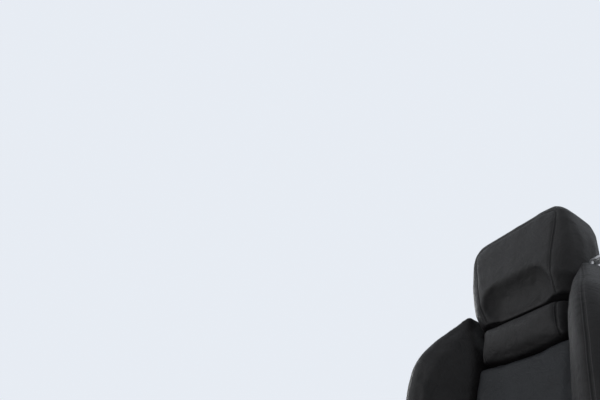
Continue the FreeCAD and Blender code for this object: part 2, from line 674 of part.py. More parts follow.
# Cushion side frame, a dished pressing that carries the tubes and the recliner, and its cover.
def side_bore(y, z, radius, reach):
    """Round bar across the seat through a place in the side view."""
    return Part.makeCylinder(radius, 2 * reach, Vector(-reach, y, z), ACROSS)


HOLE_PLACES = (0.26, 0.5, 0.74)  # shares of the way from the front cross tube to the rear one
hole_radius, hole_rim, frame_sheet = number("frame_hole/2"), number("hole_rim"), number("frame_sheet")
tube_z = number("pivot_height + tube_rise")
tube_ys = [number(f"pivot_{end} + tube_run_y") for end in ("front", "rear")]
frame_reach = number("frame_flange")
hole_z = number("(pan_height + pivot_height + frame_clear)/2")
for side, sign in SIDES:
    frame = dished("side_frame_" + side, SIDE_VIEW, side_outline("0"), "frame_flange", "frame_sheet", sign)
    pressing = frame.Shape
    for share in HOLE_PLACES:
        hole_y = tube_ys[0] + share * (tube_ys[1] - tube_ys[0])
        rim = Part.makeCylinder(hole_radius + frame_sheet, hole_rim, Vector(0, hole_y, hole_z), ACROSS * sign)
        pressing = pressing.fuse(rim).cut(side_bore(hole_y, hole_z, hole_radius, frame_reach))
    for tube_y in tube_ys:
        pressing = pressing.cut(side_bore(tube_y, tube_z, number("tube_hole"), frame_reach))
    frame.Shape = pressing
    set_place(frame, f"{sign}*frame_x")
    trim = dished("side_trim_" + side, SIDE_VIEW, side_outline("trim_margin"), "trim_depth", "trim_sheet",
                  -sign, round_edge="trim_rounding")
    if side == "outboard":
        for lever in ("height_lever", "recline_lever"):
            seat = Part.makeCylinder(number("1.15*lever_head"), number("lever_seat"),
                                     Vector(0, number(lever + "_y"), number(lever + "_z")), ACROSS)
            trim.Shape = trim.Shape.fuse(seat.makeChamfer(number("lever_seat/2"), far_edges(seat, ACROSS)))
    set_place(trim, f"{sign}*(flange_out + trim_sheet)")

# Cushion pan: one pressed sheet from frame to frame, raised and turned down at the front.
pan_line = (
    ("pan_rear", "pan_height"),
    ("pan_bend", "pan_height"),
    ("pan_front", "pan_front_height"),
)
pan = plate("cushion_pan", pan_line + (
    ("pan_front", "pan_front_height - pan_lip"),
    ("pan_front + pan_sheet", "pan_front_height - pan_lip"),
    ("pan_front + pan_sheet", "pan_front_height - pan_sheet*1.5"),
    ("pan_bend", "pan_height - pan_sheet"),
    ("pan_rear", "pan_height - pan_sheet"),
), "frame_spacing")
rib_margin = "4*pan_rib"
rib = sketch_on(pan, "XZ_Plane", "pan_rib_section", f"-(pan_rear - {rib_margin})")
rib_x = "-(pan_ribs - 1)*pan_rib_pitch/2"
draw_corners(rib, (
    (rib_x + " - pan_rib", "pan_height - pan_sheet/2"),
    (rib_x + " - pan_rib", "pan_height - pan_sheet - pan_rib", "pan_rib*0.9"),
    (rib_x + " + pan_rib", "pan_height - pan_sheet - pan_rib", "pan_rib*0.9"),
    (rib_x + " + pan_rib", "pan_height - pan_sheet/2"),
))
rib_pad = pad(pan, rib, f"pan_rear - pan_bend - 2*{rib_margin}")
in_row(pan, rib_pad, rib, "pan_rib_pitch", "pan_ribs", "H_Axis")

# Recliner discs on the side frames, and the backrest's arms that turn in them.
for side, sign in SIDES:
    disc = body("recliner_" + side)
    rim = sketch_on(disc, "YZ_Plane", f"recliner_{side}_rim")
    draw_circle(rim, "0", "0", "recliner_radius")
    draw_circle(rim, "0", "0", "hub_diameter/2 + pin_play")
    pad(disc, rim, "recliner_width", back=sign > 0)
    set_place(disc, f"{sign}*frame_x", "recline_y", "recline_z")
    arm = plate("back_arm_" + side, (
        ("-arm_head", "-arm_head", "0.95*arm_head"),
        ("arm_head", "-arm_head", "0.95*arm_head"),
        ("shell_inside", "arm_waist", "0.7*arm_corner"),
        ("shell_inside", "arm_height", "arm_corner"),
        ("-back_plane", "arm_height", "arm_corner"),
        ("-back_plane", "arm_waist", "0.4*arm_corner"),
        ("-arm_head", "arm_head/4", "1.4*arm_corner"),
    ), "arm_sheet")
    hub = sketch_on(arm, "YZ_Plane", f"back_arm_{side}_hub")
    draw_circle(hub, "0", "0", "hub_diameter/2")
    pad(arm, hub, "arm_sheet/2 + arm_gap + recliner_width - 1", back=sign < 0)
    on_backrest(arm, f"{sign}*arm_x")


def side_profile(edges, half):
    """Block of a closed chain of side-view edges, spread half to each side."""
    face = Part.Face(Part.Wire(edges))
    face.translate(Vector(-half, 0, 0))
    return face.extrude(Vector(2 * half, 0, 0))


def chain(*points):
    """Straight edges through (y, z) points of the side view."""
    spots = [Vector(0, y, z) for y, z in points]
    return [Part.LineSegment(a, b).toShape() for a, b in zip(spots, spots[1:])]


def arc_through(a, b, c):
    """Arc through three (y, z) points of the side view."""
    return Part.Arc(Vector(0, *a), Vector(0, *b), Vector(0, *c)).toShape()


# Cushion foam: a base on the pan, and on it the centre, whose rear face is an arc about the
# backrest's axis, between two raised bolsters.
axis_y, axis_z = number("recline_y"), number("recline_z")
rear_radius = number("panel_offset + crease_gap")
pan_bend, pan_front = number("pan_bend"), number("pan_front")
pan_low, pan_high = number("pan_height"), number("pan_front_height")
rear_height, front_height = number("cushion_rear_height"), number("cushion_front_height")
nose_y, half_width = number("cushion_nose"), number("cushion_half")
foot_low, foot_rise = number("bolster_foot"), number("bolster_foot_rise")
centre_half, shell_half = number("panel_width/2"), number("shell_half")


def rear_face(z):
    """Y of the cushion's rear arc at a height."""
    return axis_y - math.sqrt(rear_radius ** 2 - (axis_z - z) ** 2)


def foot_at(y):
    """Height of the split between the cushion's base and what lies on it."""
    return foot_low + foot_rise * (axis_y - y) / (axis_y - nose_y)


# the arc ends over the split, with a short upright run under it
arc_low = max(axis_z - 0.6 * rear_radius, foot_low + foot_rise / 2)
rear_y = rear_face(arc_low)
base_front = pan_front + 2
slope = (pan_high - pan_low) / (pan_bend - pan_front)
solid("cushion_base", side_profile(chain(
    (rear_y, foot_at(rear_y)),
    (rear_y, pan_low),
    (pan_bend, pan_low),
    (base_front, pan_high - 2 * slope),
    (base_front, foot_at(base_front)),
    (rear_y, foot_at(rear_y)),
), number("frame_spacing/2")))

# round front of the cushion: its radius, the drop where it turns over, and the run of the top
# edge from there to the straight, with the edge's rise and fall about the front height
nose_radius, nose_drop = 42, 18
crown_run, crown_rise, crown_fall = 90, 1, 6
nose_top = front_height - nose_drop
top_y = nose_y + 1.6 * nose_radius
crown_y, crown_z = top_y + crown_run, front_height - crown_fall
centre_edges = [
    arc_through((rear_face(rear_height), rear_height), (rear_face((rear_height + arc_low) / 2),
                (rear_height + arc_low) / 2), (rear_y, arc_low)),
] + chain(
    (rear_y, arc_low),
    (rear_y, foot_at(rear_y)),
    (nose_y + nose_radius, foot_at(nose_y + nose_radius)),
) + [
    arc_through((nose_y + nose_radius, foot_at(nose_y + nose_radius)),
                (nose_y, (foot_at(nose_y) + nose_top) / 2), (nose_y + 0.5 * nose_radius, nose_top)),
    arc_through((nose_y + 0.5 * nose_radius, nose_top), (top_y, front_height + crown_rise),
                (crown_y, crown_z)),
] + chain(
    (crown_y, crown_z),
    (rear_face(rear_height), rear_height),
)
solid("cushion_centre", side_profile(centre_edges, centre_half))


def section_loft(sections):
    """Solid through closed sections, each a list of edges in order."""
    return Part.makeLoft([Part.Wire(edges) for edges in sections], True, True)


def smooth_rows(rows, count):
    """Evenly spaced rows on smooth curves through a table whose rows start with their place."""
    slopes = []
    for i in range(len(rows)):
        before, after = rows[max(i - 1, 0)], rows[min(i + 1, len(rows) - 1)]
        slopes.append([(b - a) / (after[0] - before[0]) for a, b in zip(before, after)])
    result, i = [], 0
    for step in range(count):
        place = rows[0][0] + (rows[-1][0] - rows[0][0]) * step / (count - 1)
        while i < len(rows) - 2 and abs(place - rows[0][0]) > abs(rows[i + 1][0] - rows[0][0]):
            i += 1
        run = rows[i + 1][0] - rows[i][0]
        t = (place - rows[i][0]) / run
        row = [(2 * t ** 3 - 3 * t ** 2 + 1) * a + (t ** 3 - 2 * t ** 2 + t) * run * leave
               + (3 * t ** 2 - 2 * t ** 3) * b + (t ** 3 - t ** 2) * run * reach
               for a, b, leave, reach in zip(rows[i], rows[i + 1], slopes[i], slopes[i + 1])]
        result.append(row)
    return result


# A crest's run inwards and outwards as shares of its flanks' widths, and its slopes there.
CREST_INWARD, CREST_OUTWARD = 0.3, 0.5
CREST_RISE, CREST_FALL = 0.35, 0.66
BOLSTER_SECTION_COUNT = 16
# A bolster's inner edge under its crest, and its outer edge under the centre's top.
INNER_DROP, OUTER_DROP = 12, 30


def bolster_section(spot, inner, outer, low, inner_high, apex, outer_high):
    """Section of a bolster: flat foot, sloped inner flank, rounded crest and outer flank.

    spot turns the section's across and up into a place; apex is (across, up)."""
    inward, outward = CREST_INWARD * (apex[0] - inner), CREST_OUTWARD * (outer - apex[0])
    crest = [spot(apex[0] - inward, apex[1] - inward * CREST_RISE), spot(*apex),
             spot(apex[0] + outward, apex[1] - outward * CREST_FALL)]
    corners = [spot(inner, inner_high), spot(inner, low), spot(outer, low), spot(outer, outer_high)]
    edges = [Part.LineSegment(a, b).toShape() for a, b in zip(corners, corners[1:] + crest[2:])]
    edges.append(Part.Arc(crest[2], crest[1], crest[0]).toShape())
    edges.append(Part.LineSegment(crest[0], corners[0]).toShape())
    return edges


# along Y, apex inside the full width, crest above the centre's line, outer face inside the full width
CUSHION_BOLSTER = (
    (150, 44, 16, 12),
    (60, 42, 40, 0),
    (-120, 40, 46, 0),
    (-250, 42, 34, 2),
    (-318, 50, -2, 12),
    (-344, 60, -30, 30),
)


def centre_at(y):
    """Height of the centre cushion's top."""
    share = (rear_face(rear_height) - y) / (rear_face(rear_height) - crown_y)
    return rear_height + (crown_z - rear_height) * min(share, 1)


for side, sign in SIDES:
    sections = []
    for y, apex_in, rise, inset in smooth_rows(CUSHION_BOLSTER, BOLSTER_SECTION_COUNT):
        def spot(across, up, y=y):
            return Vector(sign * across, y, up)
        high = centre_at(y)
        sections.append(bolster_section(
            spot, centre_half, half_width - inset, foot_at(y), min(high, high + rise - INNER_DROP),
            (half_width - apex_in, high + rise), high - OUTER_DROP))
    solid("cushion_bolster_" + side, section_loft(sections))


def rounded_section(half, front, rear, z, front_radius, rear_radius):
    """Block's section at one height, across and front to rear, with rounded corners."""
    corners = [(half, front, front_radius), (half, rear, rear_radius),
               (-half, rear, rear_radius), (-half, front, front_radius)]
    turns = []
    for i, (x, y, radius) in enumerate(corners):
        corner = Vector(x, y, z)
        ways = [(Vector(*other[:2], z) - corner).normalize() * radius
                for other in (corners[i - 1], corners[(i + 1) % 4])]
        middle = corner + (ways[0] + ways[1]) * (1 - math.sqrt(0.5))
        turns.append((corner + ways[0], middle, corner + ways[1]))
    edges = []
    for i, (first, middle, last) in enumerate(turns):
        edges.append(Part.Arc(first, middle, last).toShape())
        edges.append(Part.LineSegment(last, turns[(i + 1) % 4][0]).toShape())
    return edges


# Backrest foam, drawn upright about the axis and then leant back: a centre panel with a
# rounded lower end, two bolsters that narrow to the shoulders, and the neck roll.
panel = number("panel_offset")
plane = number("back_plane")
barrel_half = number("barrel_half")
barrel_top = number("bolster_bottom") - 4
panel_top, lumbar = number("panel_top"), number("lumbar")
lower_turn = math.sqrt(panel ** 2 - plane ** 2)


def panel_at(z):
    """Y of the centre panel's face, a shallow arc over the lumbar."""
    share = max(0.0, min(1.0, z / panel_top))
    return -panel - lumbar * math.sin(math.pi * min(1.0, share * 1.15)) + 6 * share ** 3


def panel_face(low, high):
    """Arc of the panel's face between two heights."""
    middle = (low + high) / 2
    return arc_through((panel_at(low), low), (panel_at(middle), middle), (panel_at(high), high))


lower = Part.Arc(Vector(0, -panel, 0), Vector(0, -panel * 0.7071, -panel * 0.7071),
                 Vector(0, -plane, -lower_turn)).toShape()
wide_part = side_profile([panel_face(0, barrel_top), lower] + chain(
    (-plane, -lower_turn), (-plane, barrel_top), (panel_at(barrel_top), barrel_top)), barrel_half)
narrow_part = side_profile([panel_face(barrel_top, panel_top)] + chain(
    (panel_at(panel_top), panel_top), (-plane, panel_top), (-plane, barrel_top),
    (panel_at(barrel_top), barrel_top)), centre_half)

roll_low, roll_high = number("roll_bottom"), number("roll_top")
roll_face, roll_half = number("roll_front"), number("roll_width/2")
sag, roll_corner = number("roll_sag"), number("roll_corner")
roll_middle = (roll_low + roll_high) / 2
# the face leans from the panel out to its belly, then turns back over a rounded top edge
belly, top_turn, top_drop = 5, 26, 10
spare = 8
roll_foot = roll_low - sag - spare
belly_z = roll_middle + belly
face_low, face_middle = (panel_at(roll_low) + 2, roll_foot), (-roll_face, belly_z)
face_high = (-roll_face + top_turn, roll_high)
roll_block = side_profile([
    arc_through(face_low, (-roll_face + belly, belly_z - 4 * belly), face_middle),
    arc_through(face_middle, (-roll_face + 0.27 * top_turn, roll_high - top_drop), face_high),
] + chain(face_high, (-plane, roll_high), (-plane, roll_foot), face_low), roll_half + spare)
corners = [Vector(-roll_half - spare, 0, roll_high + spare), Vector(-roll_half - spare, 0, roll_low),
           Vector(0, 0, roll_low - sag), Vector(roll_half + spare, 0, roll_low),
           Vector(roll_half + spare, 0, roll_high + spare)]
front_outline = Part.Wire([
    Part.LineSegment(corners[0], corners[1]).toShape(),
    Part.Arc(corners[1], corners[2], corners[3]).toShape(),
    Part.LineSegment(corners[3], corners[4]).toShape(),
    Part.LineSegment(corners[4], corners[0]).toShape(),
])
front_block = Part.Face(front_outline).extrude(AHEAD * 2 * roll_face)
plan = rounded_section(roll_half, -roll_face, roll_face, roll_foot - spare, roll_corner, roll_corner)
plan_block = Part.Face(Part.Wire(plan)).extrude(UP * (roll_high - roll_foot + 3 * spare))
roll = roll_block.common(front_block).common(plan_block)
on_backrest(solid("neck_roll", roll))
narrow_part = narrow_part.cut(roll)
on_backrest(solid("backrest_centre", wide_part.fuse(narrow_part).removeSplitter()))

# height above the axis, apex and outer face inside the shell's half width, crest ahead of the
# axis, and the foot's inner edge as a share of the way from the roll's end to the shell's notch
roll_seam, notch_seam = 8, 1
BACK_BOLSTER = (
    (66, 38, -2, 106, 0),
    (190, 34, -12, 134, 0),
    (330, 32, -14, 150, 0),
    (430, 32, -11, 152, 0),
    (484, 36, -2, 147, 0),
    (526, 48, 14, 130, 0.1),
    (570, 70, 42, 100, 1),
    (616, 94, 72, 64, 1),
)
for side, sign in SIDES:
    sections = []
    for z, apex_in, outer_in, crest, share in smooth_rows(BACK_BOLSTER, BOLSTER_SECTION_COUNT):
        inner = (1 - share) * (roll_half + roll_seam) + share * (number("notch_half") + notch_seam)
        def spot(across, ahead, z=z):
            return Vector(sign * across, -ahead, z)
        face = -panel_at(z)
        rise = crest - face
        sections.append(bolster_section(
            spot, inner, shell_half - outer_in, plane, min(face, crest - INNER_DROP),
            (shell_half - apex_in, crest), face + rise * 0.4 - OUTER_DROP / 2))
    bolster = section_loft(sections).cut(Part.Compound([narrow_part, roll]))
    on_backrest(solid("backrest_bolster_" + side, bolster))

# Headrest: rounded blocks in plan, its lower face turned under.
head_base, head_height = number("head_base"), number("head_height")
head_front, head_depth, under = number("head_front"), number("head_depth"), number("head_undercut")
wide_half, foot_half = number("head_width/2"), number("head_foot/2")
scoop_radius, scoop_half = number("scoop_radius"), number("scoop_half")

# share of the height, half width, face, rear, front and rear corner radius
HEAD = (
    (0.0, foot_half, under - head_front, head_depth - head_front, 40, 12),
    (0.16, foot_half + 5, -head_front + 2, head_depth - head_front, 40, 16),
    (0.50, wide_half - 2, -head_front, head_depth - head_front, 32, 18),
    (0.78, wide_half, -head_front, head_depth - head_front - 3, 22, 18),
    (0.90, wide_half - 5, -head_front + 1, head_depth - head_front - 8, 20, 16),
    (0.97, wide_half - 16, -head_front + 4, head_depth - head_front - 16, 18, 14),
    (1.0, wide_half - 31, -head_front + 11, head_depth - head_front - 26, 14, 12),
)
block = section_loft([rounded_section(half, front, rear, head_base + share * head_height, *radii)
                      for share, half, front, rear, *radii in HEAD])
scoop_axis = Vector(0, -head_front - number("scoop_ahead"), head_base + number("scoop_up"))
scoop = Part.makeCylinder(scoop_radius, 2 * scoop_half, scoop_axis - ACROSS * scoop_half, ACROSS)
for sign in (1, -1):
    scoop = scoop.fuse(Part.makeSphere(scoop_radius, scoop_axis + ACROSS * scoop_half * sign))
block = block.cut(scoop)
post_y, post_radius = number("post_plane"), number("post_diameter/2")
post_half, post_low = number("post_x"), number("post_bottom")
bore_depth = number("post_grip") + 2
for sign in (1, -1):
    bore_foot = Vector(sign * post_half, post_y, head_base - 1)
    block = block.cut(Part.makeCylinder(post_radius, bore_depth, bore_foot))
on_backrest(solid("headrest", block))
for side, sign in SIDES:
    post = body("headrest_post_" + side)
    ring = sketch_on(post, "XY_Plane", f"headrest_post_{side}_ring", "post_bottom")
    draw_circle(ring, f"{sign}*post_x", "post_plane", "post_diameter/2")
    pad(post, ring, "head_base + post_grip - post_bottom")
    if side == "outboard":
        notch = sketch_on(post, "YZ_Plane", "height_notch")
        lowest = "head_base - sleeve_length/2 - (notch_count - 1)*notch_pitch"
        draw_circle(notch, "post_plane - post_diameter/2", lowest, "notch_depth")
        in_row(post, cut(post, notch, "2*(post_x + post_diameter)"), notch, "notch_pitch", "notch_count")
    on_backrest(post)
    sleeve = body("post_sleeve_" + side)
    for name, radius, low, high in (
        ("collar", "collar_radius", "shell_top", "shell_top + collar_height"),
        ("guide", "sleeve_radius", "shell_top - sleeve_length", "shell_top"),
    ):
        ring = sketch_on(sleeve, "XY_Plane", f"post_sleeve_{side}_{name}", low)
        draw_circle(ring, f"{sign}*post_x", "post_plane", radius)
        draw_circle(ring, f"{sign}*post_x", "post_plane", "post_diameter/2 + sleeve_play")
        pad(sleeve, ring, f"({high}) - ({low})")
    on_backrest(sleeve)

# Back shell: moulded, open towards the foam, with a tongue down between the arms.
shell_outline = mirrored((
    ("notch_half - notch_slope", "shell_top", "8"),
    ("notch_half", "shoulder_top", "notch_round"),
    ("notch_half + min(shoulder_flat; 0.6*shoulder_run)", "shoulder_top",
     "min(shoulder_round; 0.456*shoulder_run)"),
    ("shell_half - 2", "max(0.78*shoulder_top; shoulder_top - 1.34*shoulder_run)", "180"),
    ("shell_half - 12", "bolster_bottom - 4", "20"),
    ("tongue_half", "bolster_bottom - 4", "6"),
    ("tongue_half", "-tongue_bottom", "24"),
))
shell_field = mirrored((
    ("shell_half - recess_margin", "recess_top", "44"),
    ("shell_half - recess_margin - 16", "recess_low", "44"),
))
shell = dished("back_shell", FRONT_VIEW, shell_outline, "shell_depth", "shell_sheet",
               start="back_plane - shell_depth", round_edge="shell_rounding",
               field=shell_field, sunk="recess_depth")
slot_half, slot_depth, slot_height = number("arm_sheet/2 + arm_slot_gap"), number("shell_depth"), 20
slot_low = number("bolster_bottom") - 0.7 * slot_height
cuts = []
for side, sign in SIDES:
    corner = Vector(sign * number("arm_x") - slot_half, -plane, slot_low)
    cuts.append(Part.makeBox(2 * slot_half, slot_depth, slot_height, corner))
    hole_foot = Vector(sign * post_half, post_y, number("shell_top - shell_depth/2"))
    cuts.append(Part.makeCylinder(number("sleeve_radius"), slot_depth, hole_foot))
shell.Shape = shell.Shape.cut(Part.Compound(cuts))
on_backrest(shell)

# Levers on the door side: one lifts the seat, one frees the recliner.
for label, length, tilt in (
    ("height_lever", "lever_length + lever_extra", "lever_tilt - 2"),
    ("recline_lever", "lever_length", "lever_tilt"),
):
    lever = plate(label, (
        ("-lever_head", "-lever_head", "lever_head*0.8"),
        ("lever_head + 14", "-lever_tip*0.8", "20"),
        (length, "-lever_tip", "lever_tip*0.85"),
        (length, "lever_tip", "lever_tip*0.85"),
        ("lever_head + 14", "lever_tip*0.8", "20"),
        ("-lever_head", "lever_head", "lever_head*0.8"),
    ), "lever_sheet")
    round_face(lever, ACROSS, "lever_rounding")
    set_place(lever, "flange_out + trim_sheet + lever_seat + lever_sheet/2", label + "_y", label + "_z", tilt)

# Buckle on its bent stalk, on the tunnel side, with a mouth for the belt's tongue and a button.
stalk = body("buckle_stalk")
strip = sketch_on(stalk, "XZ_Plane", "buckle_stalk_strip")
outer = "(-stalk_reach - buckle_sheet)"
draw_corners(strip, (
    ("0", "0"),
    ("0", "stalk_bend"),
    ("-stalk_reach", "stalk_bend + stalk_reach"),
    ("-stalk_reach", "stalk_length"),
    (outer, "stalk_length"),
    (outer, "stalk_bend + stalk_reach + buckle_sheet*0.4"),
    ("-buckle_sheet", "stalk_bend + buckle_sheet*0.4"),
    ("-buckle_sheet", "0"),
))
pad(stalk, strip, "buckle_width", both=True)
set_place(stalk, "-(flange_out + trim_sheet)", "stalk_y", "stalk_foot")
buckle = body("buckle")
face_x = "(-stalk_reach + buckle_back)"
back_x = "(-stalk_reach + buckle_back - buckle_depth)"
half_width = "(buckle_width/2 + buckle_cheek)"
shape = sketch_on(buckle, "XY_Plane", "buckle_shape")
draw_corners(shape, (
    (back_x, "-" + half_width, "5"),
    (face_x, "-" + half_width, "5"),
    (face_x, half_width, "5"),
    (back_x, half_width, "5"),
))
pad(buckle, shape, "buckle_height")
strip_hole = sketch_on(buckle, "XY_Plane", "strip_hole")
draw_block(strip_hole, "-stalk_reach - buckle_sheet/2", "0", "buckle_sheet", "buckle_width")
cut(buckle, strip_hole, "2*buckle_grip")
mouth_x = face_x + " - buckle_wall - mouth_height/2"
button_x = back_x + " + buckle_wall + button_depth/2"
for name, x, across, along, depth in (
    ("mouth", mouth_x, "mouth_height", "tongue_slot", "mouth_depth"),
    ("button_well", button_x, "button_depth + 2*button_gap", "tongue_slot", "button_travel"),
):
    hollow = sketch_on(buckle, "XY_Plane", name, "buckle_height")
    draw_block(hollow, x, "0", across, along)
    cut(buckle, hollow, f"2*({depth})")
button = body("buckle_button")
key = sketch_on(button, "XY_Plane", "buckle_button_outline")
draw_block(key, button_x, "0", "button_depth", "tongue_slot - 2*button_gap")
pad(button, key, "button_travel + 1")
round_face(button, UP, "1")
set_place(buckle, "-(flange_out + trim_sheet)", "stalk_y", "stalk_foot + stalk_length - buckle_grip")
set_place(button, "-(flange_out + trim_sheet)", "stalk_y",
          "stalk_foot + stalk_length - buckle_grip + buckle_height - button_travel")

# Belt guide: a steel loop over the door-side shoulder, on a stem screwed to the shell's back.
guide_x, guide_z = number("guide_x"), number("shoulder_top") + number("guide_rise")
loop_half, loop_high, wire = number("loop_width/2"), number("loop_height/2"), number("guide_sheet")
guide_front, shell_back = number("guide_ahead"), number("shell_depth") - plane
stem_half, stem_reach = number("stem_width/2"), number("stem_reach")


def centred_box(half_x, y, depth, z, half_z):
    """Box about a point of the guide's middle plane, from y rearwards."""
    return Part.makeBox(2 * half_x, depth, 2 * half_z, Vector(guide_x - half_x, y, z - half_z))


loop = centred_box(loop_half, -guide_front, wire, guide_z, loop_high)
loop = loop.makeFillet(loop_high * 0.6, [edge for edge in loop.Edges if abs(edge.tangentAt(0).y) > 0.9])
slot = centred_box(loop_half - wire, -guide_front - wire, 3 * wire, guide_z, loop_high - wire)
slot = slot.makeFillet(loop_high * 0.4, [edge for edge in slot.Edges if abs(edge.tangentAt(0).y) > 0.9])
arm_line = [(-guide_front, guide_z - loop_high), (shell_back + wire, guide_z - loop_high),
            (shell_back + wire, guide_z - loop_high - stem_reach),
            (shell_back, guide_z - loop_high - stem_reach),
            (shell_back, guide_z - loop_high - wire), (-guide_front, guide_z - loop_high - wire)]
arm = side_profile(chain(*arm_line, arm_line[0]), stem_half)
arm.translate(Vector(guide_x, 0, 0))
on_backrest(solid("belt_guide", loop.fuse(arm).removeSplitter().cut(slot)))

document.recompute()
for item in document.Objects:
    if "Invalid" in item.State or "Error" in item.State:
        raise RuntimeError(f"{item.Name} failed: {item.State}")
for piece in pieces:
    if piece.Shape.isNull() or not piece.Shape.isValid() or not piece.Shape.Solids:
        raise RuntimeError(piece.Label + " has no valid solid")

os.makedirs("parts", exist_ok=True)
for piece in pieces:
    piece.Shape.exportStep(f"parts/{piece.Label}.step")
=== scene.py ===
import json
import math

import bmesh
import bpy
import numpy as np
from mathutils import Matrix, Vector, noise
from mathutils.bvhtree import BVHTree
from mathutils.kdtree import KDTree


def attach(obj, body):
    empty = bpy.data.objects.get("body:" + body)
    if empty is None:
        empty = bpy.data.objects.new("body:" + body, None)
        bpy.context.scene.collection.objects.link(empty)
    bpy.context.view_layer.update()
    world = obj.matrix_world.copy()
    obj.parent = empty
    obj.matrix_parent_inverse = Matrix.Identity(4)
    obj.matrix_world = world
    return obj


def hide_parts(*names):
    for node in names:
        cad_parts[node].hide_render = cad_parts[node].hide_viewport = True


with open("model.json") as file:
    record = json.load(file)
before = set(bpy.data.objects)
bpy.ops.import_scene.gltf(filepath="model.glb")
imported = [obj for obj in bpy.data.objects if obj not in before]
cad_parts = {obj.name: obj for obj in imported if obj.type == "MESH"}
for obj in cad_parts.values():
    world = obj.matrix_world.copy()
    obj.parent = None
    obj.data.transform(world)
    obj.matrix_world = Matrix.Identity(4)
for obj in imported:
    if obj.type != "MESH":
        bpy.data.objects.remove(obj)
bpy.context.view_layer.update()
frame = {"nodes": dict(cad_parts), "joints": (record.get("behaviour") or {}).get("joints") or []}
nodes = frame["nodes"]

# Floor rails and feet. Rolled and pressed steel strip, zinc plated and passivated, so it is a
# dull silver with cloudy patches, and bright where its edges are rubbed.
# The feet are welded under the rails and bolted to the floor.


def shade(tree, kind, inputs=None, **settings):
    """Shader node with its settings; each input is a plain value or another node's output."""
    made = tree.nodes.new("ShaderNode" + kind)
    for name, value in settings.items():
        setattr(made, name, value)
    for name, value in (inputs or {}).items():
        if isinstance(value, bpy.types.NodeSocket):
            tree.links.new(value, made.inputs[name])
        else:
            made.inputs[name].default_value = value
    return made


def worked(tree, operation, *values, use_clamp=False):
    """Value worked out from others by one step of arithmetic."""
    return shade(tree, "Math", dict(enumerate(values)), operation=operation, use_clamp=use_clamp).outputs[0]


def speckle(tree, place, scale, detail, distortion=0.0):
    """Cloud of noise over the surface, 0 to 1."""
    inputs = {"Vector": place, "Scale": scale, "Detail": detail, "Distortion": distortion}
    return shade(tree, "TexNoise", inputs).outputs["Fac"]


def on_object(tree):
    """Place on the object, in metres."""
    return shade(tree, "TexCoord").outputs["Object"]


def ranged(tree, value, low, high, to_low, to_high):
    """Value mapped from one range to another and held within it."""
    inputs = {"Value": value, "From Min": low, "From Max": high, "To Min": to_low, "To Max": to_high}
    return shade(tree, "MapRange", inputs).outputs["Result"]


def two_tone(tree, mask, low, high):
    """Colour that goes from low to high with a mask; low may be another node's colour."""
    mix = shade(tree, "Mix", {"Factor": mask}, data_type="RGBA")
    for socket, color in ((mix.inputs[6], low), (mix.inputs[7], high)):
        if isinstance(color, bpy.types.NodeSocket):
            tree.links.new(color, socket)
        else:
            socket.default_value = (*color, 1)
    return mix.outputs[2]


def bump(tree, shader, height, distance):
    """Relief of a height in metres of depth, wired to the shader's normal."""
    made = shade(tree, "Bump", {"Height": height, "Distance": distance})
    tree.links.new(made.outputs["Normal"], shader.inputs["Normal"])


def finish(name, color, roughness, **sockets):
    """Material with plain values on its shader; returns the material, its tree and the shader."""
    material = bpy.data.materials.new(name)
    material.use_nodes = True
    material.diffuse_color = (*color, 1)
    shader = material.node_tree.nodes["Principled BSDF"]
    shader.inputs["Base Color"].default_value = (*color, 1)
    shader.inputs["Roughness"].default_value = roughness
    for socket, value in sockets.items():
        shader.inputs[socket.replace("_", " ")].default_value = value
    return material, material.node_tree, shader


def node_group(name, takes, gives):
    """Empty shader node group of value inputs, each with its default, and value outputs."""
    tree = bpy.data.node_groups.new(name, "ShaderNodeTree")
    for name, value in takes.items():
        socket = tree.interface.new_socket(name, in_out="INPUT", socket_type="NodeSocketFloat")
        socket.default_value = value
    for name in gives:
        tree.interface.new_socket(name, in_out="OUTPUT", socket_type="NodeSocketFloat")
    taken = tree.nodes.new("NodeGroupInput").outputs
    given = tree.nodes.new("NodeGroupOutput").inputs
    return tree, taken, given


def placed_group(tree, group, **values):
    """A node group placed in a material with its own values."""
    made = tree.nodes.new("ShaderNodeGroup")
    made.node_tree = group
    for socket, value in values.items():
        made.inputs[socket].default_value = value
    return made


# Edge wear: bright or dark along outside edges, broken up by noise, 0 to 1. An edge shows where
# the normal rounded off over its width turns away from the face, by its cosine.
EDGE_STARTS, EDGE_FULL = 0.995, 0.90
edge_wear, taken, given = node_group("edge wear", {"Width": 0.0015, "Patchiness": 0.5}, ["Mask"])
rounded = shade(edge_wear, "Bevel", {"Radius": taken["Width"]}, samples=4).outputs["Normal"]
facing = shade(edge_wear, "NewGeometry").outputs["Normal"]
turn = shade(edge_wear, "VectorMath", {0: rounded, 1: facing}, operation="DOT_PRODUCT").outputs["Value"]
edges = ranged(edge_wear, turn, EDGE_STARTS, EDGE_FULL, 0.0, 1.0)
patches = speckle(edge_wear, on_object(edge_wear), 45.0, 5.0)
patches = worked(edge_wear, "SUBTRACT", patches, taken["Patchiness"])
patches = ranged(edge_wear, patches, -0.08, 0.10, 0.0, 1.0)
edge_wear.links.new(worked(edge_wear, "MULTIPLY", edges, patches, use_clamp=True), given["Mask"])

# Clouding: soft uneven patches, and fine grain over them, each 0 to 1.
clouding, taken, given = node_group("clouding", {"Scale": 20.0, "Fine": 8.0}, ["Patches", "Grain"])
place = on_object(clouding)
patches = speckle(clouding, place, taken["Scale"], 4.0)
grain = speckle(clouding, place, worked(clouding, "MULTIPLY", taken["Scale"], taken["Fine"]), 3.0)
clouding.links.new(ranged(clouding, patches, 0.3, 0.7, 0.0, 1.0), given["Patches"])
clouding.links.new(grain, given["Grain"])


